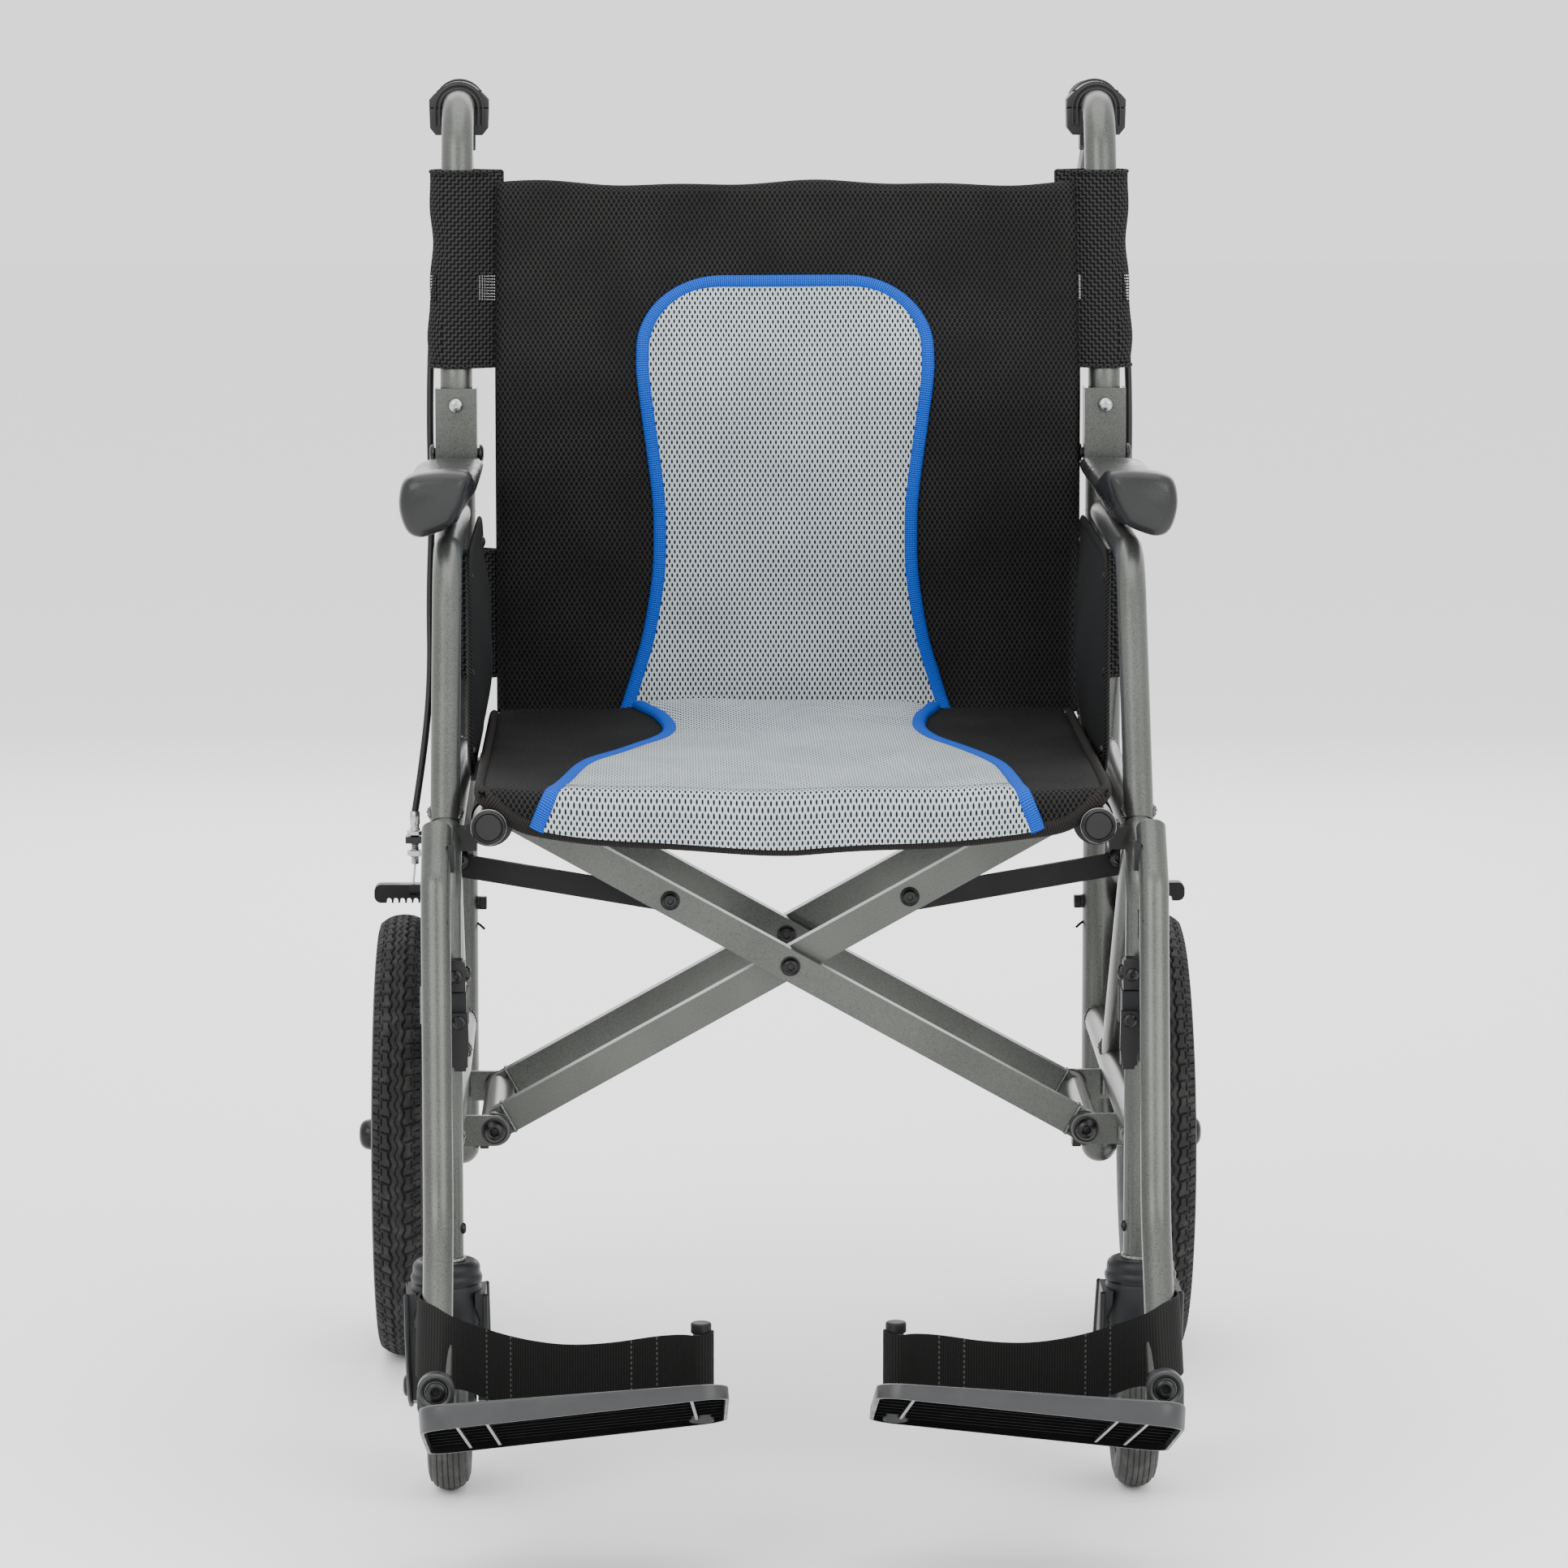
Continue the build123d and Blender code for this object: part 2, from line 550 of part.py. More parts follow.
# ---- cross frame ----
def brace(front_faces, lower_side):
    """Two parallel bars between a pivot tube (on lower_side) and a seat rail (on the other side)."""
    start = (lower_side * PIVOT_X, PIVOT_Z)
    end = (-lower_side * RAIL_X, RAIL_Z)
    length = hypot(end[0] - start[0], end[1] - start[1])
    slope = degrees(atan2(end[1] - start[1], end[0] - start[0]))
    tube = along_y(*start, LUG_FRONT_Y + GAP, LUG_REAR_Y - GAP, PIVOT_TUBE_R)
    rail = along_y(*end, RAIL_FRONT_Y, RAIL_REAR_Y, TUBE_R)
    bars = []
    for front in front_faces:
        solid = block((0, length), (0, BAR_T), (-BAR_HEIGHT / 2, BAR_HEIGHT / 2))
        wall = 1.5
        hollow = block((-1, length + 1), (wall, BAR_T - wall), (wall - BAR_HEIGHT / 2, BAR_HEIGHT / 2 - wall))
        bar = Pos(start[0], front, start[1]) * Rot(Y=-slope) * (solid - hollow)
        bar -= tube + rail
        bar -= along_y(*CENTRE, front - 1, front + BAR_T + 1, BOLT_R + FIT)
        bars.append(bar)
    link_x, link_z = link_bolt_place(lower_side)
    bars[0] -= along_y(link_x, link_z, front_faces[0] - 1, front_faces[0] + BAR_T + 1, BOLT_R + FIT)
    bolt = along_y(link_x, link_z, front_faces[0] - 0.1, LINK_Y - GAP, BOLT_R)
    bolt += hexagon_y(link_x, link_z, front_faces[0] - 3, front_faces[0], 9.5)
    tube -= along_y(*start, LUG_FRONT_Y - 1, LUG_REAR_Y + 1, PIVOT_BOLT_R + FIT)
    rail -= along_y(*end, RAIL_FRONT_Y - 1, RAIL_REAR_Y + 1, TUBE_R - TUBE_WALL)
    return group(*bars, tube, rail, bolt)


def cross_centre():
    """Where the two braces cross, on the chair's centre plane."""
    slope = (RAIL_Z - PIVOT_Z) / (RAIL_X + PIVOT_X)
    return 0.0, PIVOT_Z + slope * PIVOT_X


CENTRE = cross_centre()


def link_bolt_place(lower_side):
    """The link's bolt, on the brace's upper half."""
    slope = (CENTRE[1] - PIVOT_Z) / PIVOT_X
    return -lower_side * LINK_IN[0], CENTRE[1] + slope * LINK_IN[0]


def brace_bolts():
    """Front and rear centre bolts, each with a washer between the two bars."""
    bolts = []
    for a_front, b_front in zip(BAR_A_Y, BAR_B_Y):
        bolt = along_y(*CENTRE, a_front - 1, b_front + BAR_T + 1, BOLT_R)
        bolt += hexagon_y(*CENTRE, a_front - 4.5, a_front - 0.1, 12)
        bolt += along_y(*CENTRE, a_front + BAR_T + 0.2, b_front - 0.2, 9)
        bolt += hexagon_y(*CENTRE, b_front + BAR_T + 0.1, b_front + BAR_T + 5, 12)
        bolts.append(bolt)
    return group(*bolts)


def link():
    """A flat bar that hangs below its pins, so that it clears the upper rail when the chair is folded."""
    (x_in, z_in), (x_out, z_out) = LINK_IN, LINK_OUT
    length = hypot(x_out - x_in, z_out - z_in)
    slope = degrees(atan2(z_out - z_in, x_out - x_in))
    bar = block((-6, length + 6), (0, LINK_T), (-LINK_BELOW, LINK_ABOVE))
    bar += along_y(length, 0, 0, LINK_T, LINK_EYE_R)
    bar = Pos(x_in, LINK_Y, z_in) * Rot(Y=-slope) * bar
    return bar - along_y(x_out, z_out, LINK_Y - 1, LINK_Y + LINK_T + 1, BOLT_R + FIT)


# ---- upholstery, as plain solids ----
def seat():
    half, top, sag = SEAT_HALF_WIDTH, 468, 12
    rail_top = RAIL_Z + TUBE_R + 0.5
    inner = RAIL_X - TUBE_R - 3
    outline = [(half, rail_top), (half, top - 4), (half - 6, top), (0, top - sag), (-half + 6, top)]
    outline += [(-half, top - 4), (-half, rail_top), (-inner, rail_top), (-60, 432), (60, 432), (inner, rail_top)]
    return profile_y(outline, -445, RAIL_REAR_Y)


def back_lower():
    half = BACK_HALF_WIDTH
    return block((-half, half), (-16, 3), (474, BACK_HINGE_Z - 5))


def back_upper():
    half = BACK_HALF_WIDTH
    outline = [(-16, BACK_HINGE_Z + 4), (-16, 690), (30, 818), (48, 818), (3, 690), (3, BACK_HINGE_Z + 4)]
    return profile_x(outline, -half, half)


def main():
    os.makedirs("parts", exist_ok=True)
    for name, make in [
        ("rear_post", rear_post),
        ("front_post", front_post),
        ("upper_rail", upper_rail),
        ("lower_rail", lower_rail),
        ("rail_saddles", rail_saddles),
        ("side_bolts", side_bolts),
        ("armrest_tube", armrest_tube),
        ("arm_pad", arm_pad),
        ("skirt_guard", skirt_guard),
        ("cane", cane),
        ("cane_hinge", cane_hinge),
        ("grip", grip),
        ("brake_housing", brake_housing),
        ("brake_lever", brake_lever),
        ("brake_cable", brake_cable),
        ("cable_stop", cable_stop),
        ("brake_shoe", brake_shoe),
        ("rear_tyre", rear_tyre),
        ("rear_rim", rear_rim),
        ("caster_fork", caster_fork),
        ("caster_wheel", caster_wheel),
        ("hanger_tube", hanger_tube),
        ("hanger_saddles", hanger_saddles),
        ("hanger_latch", hanger_latch),
        ("footplate", footplate),
        ("heel_strap", heel_strap),
        ("link", link),
    ]:
        save_pair(name, make())
    save("brace_a", brace(BAR_A_Y, 1))
    save("brace_b", brace(BAR_B_Y, -1))
    save("brace_bolts", brace_bolts())
    save("seat", seat())
    save("back_lower", back_lower())
    save("back_upper", back_upper())


main()
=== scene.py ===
"""Looks of the folding transport wheelchair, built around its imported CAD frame.

Lengths are millimetres in the chair's own axes: X to the sitter's left, Y back from the rear axle, Z up.
at() turns them into metres in the row frame. "right" is the sitter's right, at -X.
"""

from math import atan2, cos, exp, hypot, pi, radians, sin, tau

import bmesh
import bpy
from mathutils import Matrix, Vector


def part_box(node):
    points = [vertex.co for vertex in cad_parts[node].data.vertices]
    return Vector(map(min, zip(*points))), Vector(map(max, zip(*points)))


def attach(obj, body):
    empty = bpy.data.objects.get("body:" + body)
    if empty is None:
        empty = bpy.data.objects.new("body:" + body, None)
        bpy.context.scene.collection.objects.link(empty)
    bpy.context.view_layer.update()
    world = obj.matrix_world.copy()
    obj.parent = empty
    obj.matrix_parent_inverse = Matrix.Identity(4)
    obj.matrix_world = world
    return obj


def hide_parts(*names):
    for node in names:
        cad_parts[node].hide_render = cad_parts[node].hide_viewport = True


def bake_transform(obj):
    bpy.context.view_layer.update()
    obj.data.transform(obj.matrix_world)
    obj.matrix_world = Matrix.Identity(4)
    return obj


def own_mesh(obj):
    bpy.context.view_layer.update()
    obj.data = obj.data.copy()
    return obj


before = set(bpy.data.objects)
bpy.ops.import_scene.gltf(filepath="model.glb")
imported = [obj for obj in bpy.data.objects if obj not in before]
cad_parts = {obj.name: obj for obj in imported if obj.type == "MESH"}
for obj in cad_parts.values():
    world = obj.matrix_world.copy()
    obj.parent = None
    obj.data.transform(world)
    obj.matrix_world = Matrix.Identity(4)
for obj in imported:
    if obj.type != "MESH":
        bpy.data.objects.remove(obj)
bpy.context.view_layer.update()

SIDES = (("right", -1), ("left", 1))
BRACE_SIDES = (("right", -1, "brace_a"), ("left", 1, "brace_b"))  # the brace whose seat rail is there
tyre_low, tyre_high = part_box("left_rear_tyre")
AXLE_Y = (tyre_low.y + tyre_high.y) * 500
MM = 1000.0
CLOTH_UV = "cloth"

# Places that several pieces share, on the +X side where they come in pairs.
POST_X = 225.0  # rear post, cane and grip
FRONT_X, FRONT_Y = 221.0, -450.0  # front post and caster stem
CASTER_Y, CASTER_R = -400.0, 67.0
RAIL_X, RAIL_Z = 192.5, 438.0  # seat rail, at the top of a brace
PIVOT_Z = 224.0  # pivot tube, at the foot of a brace
CROSS_Z = (RAIL_Z + PIVOT_Z) / 2
BRACE_SLOPE = atan2(RAIL_Z - PIVOT_Z, 2 * RAIL_X)
BARS_A, BARS_B = (-343.0, -215.0), (-329.0, -201.0)  # front faces of each brace's two bars
BAR_T = 12.0
LINK_PIN = (215.0, 397.5)  # X and Z of a link's pin on the side frame
LINK_BOLT_X = 78.0  # and of its bolt on a brace
WHEEL_X, WHEEL_R = 264.6, 155.0
BRAKE_PIVOT_Z = 320.0
HINGE_Z = 636.0  # back hinge
GRIP_Z = 873.4
CABLE_END = (255.0, -28.0)  # X and Y of the upright end of a brake cable
PLATE_HINGE = (221.0, -651.0, 123.0)
STUB = (60.0, -590.0)  # X and Y of the strap's stub on a footplate


def at(x, y, z):
    return Vector((x, y + AXLE_Y, z)) / MM


# ---- camera, light and floor ----
def studio():
    scene = bpy.context.scene
    camera = bpy.data.objects.new("camera", bpy.data.cameras.new("camera"))
    scene.collection.objects.link(camera)
    yaw, down = radians(1.1), radians(7.8)
    aim = Vector((sin(yaw) * cos(down), cos(yaw) * cos(down), -sin(down)))
    camera.location = at(-84, -4500, 1020)
    camera.rotation_mode = "QUATERNION"
    camera.rotation_quaternion = aim.to_track_quat("-Z", "Y")
    camera.data.sensor_width = 36
    camera.data.lens = 148.9
    camera.data.clip_end = 100
    scene.camera = camera

    for name, place, size, power in [
        ("key", (-1.9, -2.6, 2.6), 2.2, 62),
        ("fill", (2.1, -2.4, 1.9), 2.2, 50),
        ("top", (0.0, 0.2, 3.0), 2.6, 48),
        ("low", (0.0, -3.2, 0.5), 2.4, 14),
        ("behind", (0.0, 2.8, 1.8), 2.6, 40),
    ]:
        light = bpy.data.lights.new(name, "AREA")
        light.energy, light.size = power, size
        lamp = bpy.data.objects.new(name, light)
        scene.collection.objects.link(lamp)
        lamp.location = place
        lamp.rotation_mode = "QUATERNION"
        lamp.rotation_quaternion = (Vector((0, 0, 0.45)) - Vector(place)).to_track_quat("-Z", "Y")

    world = bpy.data.worlds.new("studio")
    scene.world = world
    world.use_nodes = True
    background = world.node_tree.nodes["Background"]
    background.inputs["Color"].default_value = (1, 1, 1, 1)
    background.inputs["Strength"].default_value = 1.6

    bm = bmesh.new()
    bmesh.ops.create_grid(bm, x_segments=1, y_segments=1, size=14)
    mesh = bpy.data.meshes.new("floor")
    bm.to_mesh(mesh)
    bm.free()
    ground = bpy.data.objects.new("floor", mesh)
    scene.collection.objects.link(ground)
    material, bsdf, _ = shader("floor_white", (0.97, 0.97, 0.97), 0.9)
    mesh.materials.append(material)


# ---- shader building ----
class Nodes:
    """Short calls for a material's nodes. Any input may be a number or another node's output."""

    def __init__(self, tree):
        self.tree = tree

    def make(self, kind, inputs=(), output=0, **settings):
        node = self.tree.nodes.new(kind)
        for key, value in settings.items():
            setattr(node, key, value)
        for key, value in dict(inputs).items():
            if isinstance(value, bpy.types.NodeSocket):
                self.tree.links.new(value, node.inputs[key])
            else:
                node.inputs[key].default_value = value
        return node.outputs[output]

    def math(self, operation, *values):
        return self.make("ShaderNodeMath", enumerate(values), operation=operation)

    def place(self):
        """Object-space place, in millimetres."""
        return self.scaled(self.make("ShaderNodeTexCoord", output=3), MM)

    def cloth(self):
        """The cloth's own flat coordinates, in millimetres."""
        return self.scaled(self.make("ShaderNodeUVMap", uv_map=CLOTH_UV), MM)

    def scaled(self, vector, factor):
        return self.make("ShaderNodeVectorMath", {0: vector, "Scale": factor}, operation="SCALE")

    def split(self, vector):
        node = self.tree.nodes.new("ShaderNodeSeparateXYZ")
        self.tree.links.new(vector, node.inputs[0])
        return node.outputs[0], node.outputs[1], node.outputs[2]

    def noise(self, vector, size, detail=3.0):
        """Noise whose features are about size millimetres."""
        inputs = {"Vector": vector, "Scale": 1 / size, "Detail": detail}
        return self.make("ShaderNodeTexNoise", inputs)

    def between(self, value, low, high, out_low=0.0, out_high=1.0):
        inputs = {0: value, 1: low, 2: high, 3: out_low, 4: out_high}
        return self.make("ShaderNodeMapRange", inputs, interpolation_type="SMOOTHSTEP")

    def colours(self, factor, first, second):
        inputs = {0: factor, 6: (*first, 1), 7: (*second, 1)}
        return self.make("ShaderNodeMix", inputs, output=2, data_type="RGBA")

    def waves(self, value, period):
        """0 to 1 and back once in each period."""
        turn = self.math("MULTIPLY", value, tau / period)
        return self.math("MULTIPLY_ADD", self.math("SINE", turn), 0.5, 0.5)


def shader(name, colour, roughness, metallic=0.0, **sockets):
    material = bpy.data.materials.new(name)
    material.use_nodes = True
    bsdf = material.node_tree.nodes["Principled BSDF"]
    bsdf.inputs["Base Color"].default_value = (*colour, 1)
    bsdf.inputs["Roughness"].default_value = roughness
    bsdf.inputs["Metallic"].default_value = metallic
    for key, value in sockets.items():
        bsdf.inputs[key.replace("_", " ")].default_value = value
    return material, bsdf, Nodes(material.node_tree)


def link(material, source, target):
    material.node_tree.links.new(source, target)


def bumped(material, bsdf, nodes, height, depth, before=None):
    """Bump whose height runs from 0 to 1 over depth millimetres."""
    inputs = {"Height": height, "Distance": depth / MM, "Strength": 1.0}
    if before is not None:
        inputs["Normal"] = before
    bump = nodes.make("ShaderNodeBump", inputs)
    link(material, bump, bsdf.inputs["Normal"])
    return bump


def paint(name, dark, light, roughness=0.4):
    """Fine-grained metallic paint."""
    material, bsdf, n = shader(name, dark, roughness, 0.72, Coat_Weight=0.12, Coat_Roughness=0.3)
    place = n.place()
    grain = n.noise(place, 0.9, 2)
    cloud = n.noise(place, 70, 2)
    tone = n.math("MULTIPLY_ADD", cloud, 0.35, n.math("MULTIPLY", grain, 0.65))
    link(material, n.colours(n.between(tone, 0.3, 0.7), dark, light), bsdf.inputs["Base Color"])
    rough = n.between(grain, 0.25, 0.75, roughness - 0.05, roughness + 0.07)
    link(material, rough, bsdf.inputs["Roughness"])
    bumped(material, bsdf, n, grain, 0.05)
    return material


def plastic(name, colour, roughness, grain_size, grain_depth, worn=1.5, shine=0.3):
    """Moulded plastic with a fine texture and slightly paler patches."""
    material, bsdf, n = shader(name, colour, roughness, Specular_IOR_Level=shine)
    place = n.place()
    grain = n.noise(place, grain_size, 2)
    cloud = n.noise(place, 25, 3)
    pale = tuple(channel * worn for channel in colour)
    link(material, n.colours(n.between(cloud, 0.4, 0.75), colour, pale), bsdf.inputs["Base Color"])
    rough = n.between(cloud, 0.3, 0.7, roughness - 0.06, roughness + 0.08)
    link(material, rough, bsdf.inputs["Roughness"])
    bumped(material, bsdf, n, grain, grain_depth)
    return material


def metal(name, colour, roughness):
    """Bare or blackened metal with fine scratches."""
    material, bsdf, n = shader(name, colour, roughness, 1.0)
    x, y, z = n.split(n.place())
    streaks = n.make("ShaderNodeCombineXYZ", {0: n.math("MULTIPLY", x, 0.15), 1: y, 2: z})
    scratch = n.noise(streaks, 0.5, 3)
    link(material, n.between(scratch, 0.3, 0.7, roughness - 0.08, roughness + 0.1), bsdf.inputs["Roughness"])
    bumped(material, bsdf, n, scratch, 0.03)
    return material


def holed(name, yarn, hole, across, along, hole_across, hole_along, patch, depth=0.9):
    """Spacer mesh: staggered rows of oval holes in a knitted face, whose yarn varies from yarn to patch."""
    material, bsdf, n = shader(name, yarn, 0.85, Specular_IOR_Level=0.15)
    u, v, _ = n.split(n.cloth())
    row_place = n.math("DIVIDE", v, along)
    row = n.math("FLOOR", row_place)
    shift = n.math("MULTIPLY", n.math("PINGPONG", row, 1.0), 0.5)
    cell = n.math("FRACT", n.math("ADD", n.math("DIVIDE", u, across), shift))
    from_u = n.math("DIVIDE", n.math("SUBTRACT", cell, 0.5), hole_across / across)
    from_v = n.math("DIVIDE", n.math("SUBTRACT", n.math("FRACT", row_place), 0.5), hole_along / along)
    squares = n.math("ADD", n.math("POWER", from_u, 2.0), n.math("POWER", from_v, 2.0))
    solid = n.between(n.math("SQRT", squares), 0.38, 0.56)
    place = n.place()
    fibre = n.noise(place, 0.35, 2)
    cloud = n.noise(place, 60, 2)
    shade = n.math("MULTIPLY_ADD", fibre, 0.5, n.math("MULTIPLY", cloud, 0.5))
    face = n.colours(n.between(shade, 0.35, 0.65), yarn, patch)
    # Painted shade: the holes take the near-black hole colour, for the shade inside them.
    mixed = n.make("ShaderNodeMix", {0: solid, 6: (*hole, 1), 7: face}, output=2, data_type="RGBA")
    link(material, mixed, bsdf.inputs["Base Color"])
    height = n.math("MULTIPLY_ADD", fibre, 0.12, n.math("MULTIPLY", solid, 0.88))
    bumped(material, bsdf, n, height, depth)
    return material


def ribbed(name, dark, light, period, depth, fuzz=0.3, stitches=()):
    """Binding or webbing: fine ribs across its length, with rows of stitches at the given u places."""
    material, bsdf, n = shader(name, light, 0.8, Specular_IOR_Level=0.15)
    u, v, _ = n.split(n.cloth())
    fibre = n.noise(n.place(), 0.5, 2)
    rib = n.waves(n.math("MULTIPLY_ADD", fibre, fuzz, u), period)
    weave = n.waves(v, period * 0.8)
    height = n.math("MULTIPLY_ADD", weave, 0.25, n.math("MULTIPLY", rib, 0.75))
    # Painted shade: the colour darkens with the ribs' height, so the hollows between them are darker. The
    # fibre noise adds a random tone.
    tone = n.math("MULTIPLY_ADD", fibre, 0.4, n.math("MULTIPLY", height, 0.6))
    colour = n.colours(n.between(tone, 0.2, 0.7), dark, light)
    for middle in stitches:
        near = n.math("ABSOLUTE", n.math("SUBTRACT", u, middle))
        line = n.math("LESS_THAN", near, 0.55)
        dash = n.math("GREATER_THAN", n.waves(v, 3.2), 0.45)
        thread = n.math("MULTIPLY", line, dash)
        paler = tuple(channel * 3.5 + 0.02 for channel in light)
        inputs = {0: thread, 6: colour, 7: (*paler, 1)}
        colour = n.make("ShaderNodeMix", inputs, output=2, data_type="RGBA")
        height = n.math("MULTIPLY_ADD", thread, 0.8, height)
    link(material, colour, bsdf.inputs["Base Color"])
    bumped(material, bsdf, n, height, depth)
    return material


def twill(name, dark, light, period, depth):
    """Diagonal weave."""
    material, bsdf, n = shader(name, light, 0.8, Specular_IOR_Level=0.15)
    u, v, _ = n.split(n.cloth())
    fibre = n.noise(n.place(), 0.6, 2)
    slanted = n.math("ADD", n.math("MULTIPLY_ADD", v, 0.55, u), n.math("MULTIPLY", fibre, 0.4))
    height = n.waves(slanted, period)
    # Painted shade: the colour follows the weave's height, darker in its hollows.
    link(material, n.colours(height, dark, light), bsdf.inputs["Base Color"])
    bumped(material, bsdf, n, height, depth)
    return material


def basket(name, dark, light, period, depth):
    """Open plain weave: warp and weft yarns that pass over each other in turn."""
    material, bsdf, n = shader(name, light, 0.8, Specular_IOR_Level=0.12)
    u, v, _ = n.split(n.cloth())
    warp, weft = n.waves(u, period), n.waves(v, period)
    column = n.math("FLOOR", n.math("DIVIDE", u, period))
    row = n.math("FLOOR", n.math("DIVIDE", v, period))
    over = n.math("PINGPONG", n.math("ADD", column, row), 1.0)
    lower = n.math("MULTIPLY", n.math("SUBTRACT", 1.0, over), weft)
    height = n.math("MULTIPLY_ADD", over, warp, lower)
    fibre = n.noise(n.place(), 0.5, 2)
    # Painted shade: the colour darkens with the yarns' height, so the hollows between them are darker. The
    # fibre noise adds a random tone.
    tone = n.math("MULTIPLY_ADD", fibre, 0.3, n.math("MULTIPLY", height, 0.7))
    link(material, n.colours(n.between(tone, 0.25, 0.75), dark, light), bsdf.inputs["Base Color"])
    bumped(material, bsdf, n, height, depth)
    return material


def rubber(name, dark, dusty, roughness=0.78):
    material, bsdf, n = shader(name, dark, roughness, Specular_IOR_Level=0.25)
    place = n.place()
    dust = n.noise(place, 9, 4)
    grain = n.noise(place, 0.8, 2)
    link(material, n.colours(n.between(dust, 0.42, 0.72), dark, dusty), bsdf.inputs["Base Color"])
    bumped(material, bsdf, n, grain, 0.08)
    return material


FRAME = paint("frame_paint", (0.062, 0.066, 0.060), (0.108, 0.114, 0.104), 0.32)
BLACK_PLASTIC = plastic("black_plastic", (0.006, 0.006, 0.0065), 0.38, 0.7, 0.04)
BLACK_STEEL = plastic("black_steel", (0.004, 0.004, 0.0042), 0.3, 1.2, 0.02, 1.5, 0.35)
PAD_PLASTIC = plastic("pad_plastic", (0.013, 0.0135, 0.0135), 0.3, 1.1, 0.14, 1.25, 0.32)
GRIP_RUBBER = plastic("grip_rubber", (0.009, 0.009, 0.009), 0.62, 0.8, 0.08)
HOUSING = plastic("housing_plastic", (0.014, 0.014, 0.0145), 0.5, 0.9, 0.02)
LEVER = plastic("lever_black", (0.006, 0.006, 0.006), 0.42, 0.6, 0.02, 1.5, 0.2)
JACKET = plastic("cable_jacket", (0.006, 0.006, 0.006), 0.38, 2.0, 0.03)
ZINC = metal("zinc", (0.42, 0.43, 0.42), 0.28)
TYRE = rubber("tyre_rubber", (0.013, 0.013, 0.013), (0.03, 0.03, 0.029))
SIDEWALL = rubber("sidewall_rubber", (0.05, 0.052, 0.052), (0.08, 0.082, 0.081), 0.55)
RIM = plastic("rim_plastic", (0.035, 0.036, 0.037), 0.45, 0.8, 0.05)
FORK = plastic("fork_plastic", (0.009, 0.0095, 0.0105), 0.42, 0.8, 0.05, 1.4, 0.25)
CASTER_RUBBER = rubber("caster_rubber", (0.03, 0.03, 0.029), (0.055, 0.055, 0.053), 0.6)
SADDLE = plastic("saddle_plastic", (0.009, 0.0095, 0.0105), 0.45, 0.8, 0.05, 1.4, 0.25)
PLATE = plastic("plate_plastic", (0.022, 0.0235, 0.0245), 0.36, 0.9, 0.1, 1.25, 0.42)
# Pale grey on the lower faces of the footplate's end ribs: painted highlight.
PLATE_EDGE_HIGHLIGHT = plastic("plate_edge_highlight", (0.2, 0.205, 0.2), 0.5, 0.9, 0.04)
# Near black inside the footplate's tray and on the ribs below it: painted shade.
TRAY_SHADE = plastic("plate_painted_shade", (0.0015, 0.0015, 0.0016), 0.8, 0.9, 0.04, 1.5, 0.1)
GLOSS_BLACK = plastic("gloss_black", (0.005, 0.005, 0.005), 0.22, 3.0, 0.01, 1.5, 0.25)
GREY_THREAD = plastic("grey_thread", (0.16, 0.18, 0.19), 0.8, 0.6, 0.1)
# Near-black colour of the black mesh's holes: painted shade.
HOLE_SHADE = (0.0003, 0.0003, 0.0003)
MESH_BLACK = holed(
    "mesh_black", (0.0095, 0.0095, 0.0093), HOLE_SHADE, 3.5, 3.0, 1.9, 3.3, (0.018, 0.018, 0.0175)
)
# Dark colour of the grey insert's holes: painted shade.
GREY_HOLE_SHADE = (0.008, 0.01, 0.012)
MESH_GREY = holed(
    "mesh_grey", (0.33, 0.372, 0.395), GREY_HOLE_SHADE, 3.6, 3.3, 1.4, 3.1, (0.42, 0.468, 0.492), 0.8
)
PIPING = ribbed("piping_blue", (0.001, 0.022, 0.2), (0.006, 0.085, 0.5), 1.5, 0.35)
HEM = ribbed("hem_black", (0.004, 0.0035, 0.003), (0.02, 0.018, 0.0165), 1.6, 0.4)
WEBBING = ribbed(
    "webbing", (0.003, 0.003, 0.003), (0.0125, 0.012, 0.0115), 1.7, 0.25, 0.2, (90.0, 108.0, 186.0, 203.0)
)
TWILL = twill("skirt_twill", (0.0012, 0.0012, 0.0012), (0.017, 0.017, 0.017), 2.6, 0.45)
SLEEVE = basket("sleeve_weave", (0.0006, 0.0006, 0.0006), (0.026, 0.026, 0.026), 2.6, 0.8)

NODE_LOOKS = {
    "rear_post": FRAME,
    "front_post": FRAME,
    "upper_rail": FRAME,
    "lower_rail": FRAME,
    "armrest_tube": FRAME,
    "cane": FRAME,
    "cane_hinge": FRAME,
    "hanger_tube": FRAME,
    "brace_a": FRAME,
    "brace_b": FRAME,
    "rail_saddles": BLACK_PLASTIC,
    "side_bolts": BLACK_STEEL,
    "brace_bolts": BLACK_STEEL,
    "arm_pad": PAD_PLASTIC,
    "skirt_guard": TWILL,
    "grip": GRIP_RUBBER,
    "brake_housing": HOUSING,
    "brake_lever": LEVER,
    "brake_cable": JACKET,
    "cable_stop": ZINC,
    "brake_shoe": LEVER,
    "rear_tyre": TYRE,
    "rear_rim": RIM,
    "caster_fork": FORK,
    "caster_wheel": CASTER_RUBBER,
    "hanger_saddles": SADDLE,
    "hanger_latch": BLACK_PLASTIC,
    "footplate": PLATE,
    "heel_strap": WEBBING,
    "link": LEVER,
    "seat": MESH_BLACK,
    "back_upper": MESH_BLACK,
    "back_lower": MESH_BLACK,
}


def dress_nodes():
    for name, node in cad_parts.items():
        base = name.removeprefix("left_").removeprefix("right_")
        materials = node.data.materials
        if not materials:
            materials.append(None)
        for index in range(len(materials)):
            materials[index] = NODE_LOOKS[base]


# ---- mesh building ----
def frame_of(axis):
    """Two directions across the axis, and the axis itself."""
    turn = Vector(axis).normalized().to_track_quat("Z", "Y").to_matrix()
    return turn @ Vector((1, 0, 0)), turn @ Vector((0, 1, 0)), turn @ Vector((0, 0, 1))


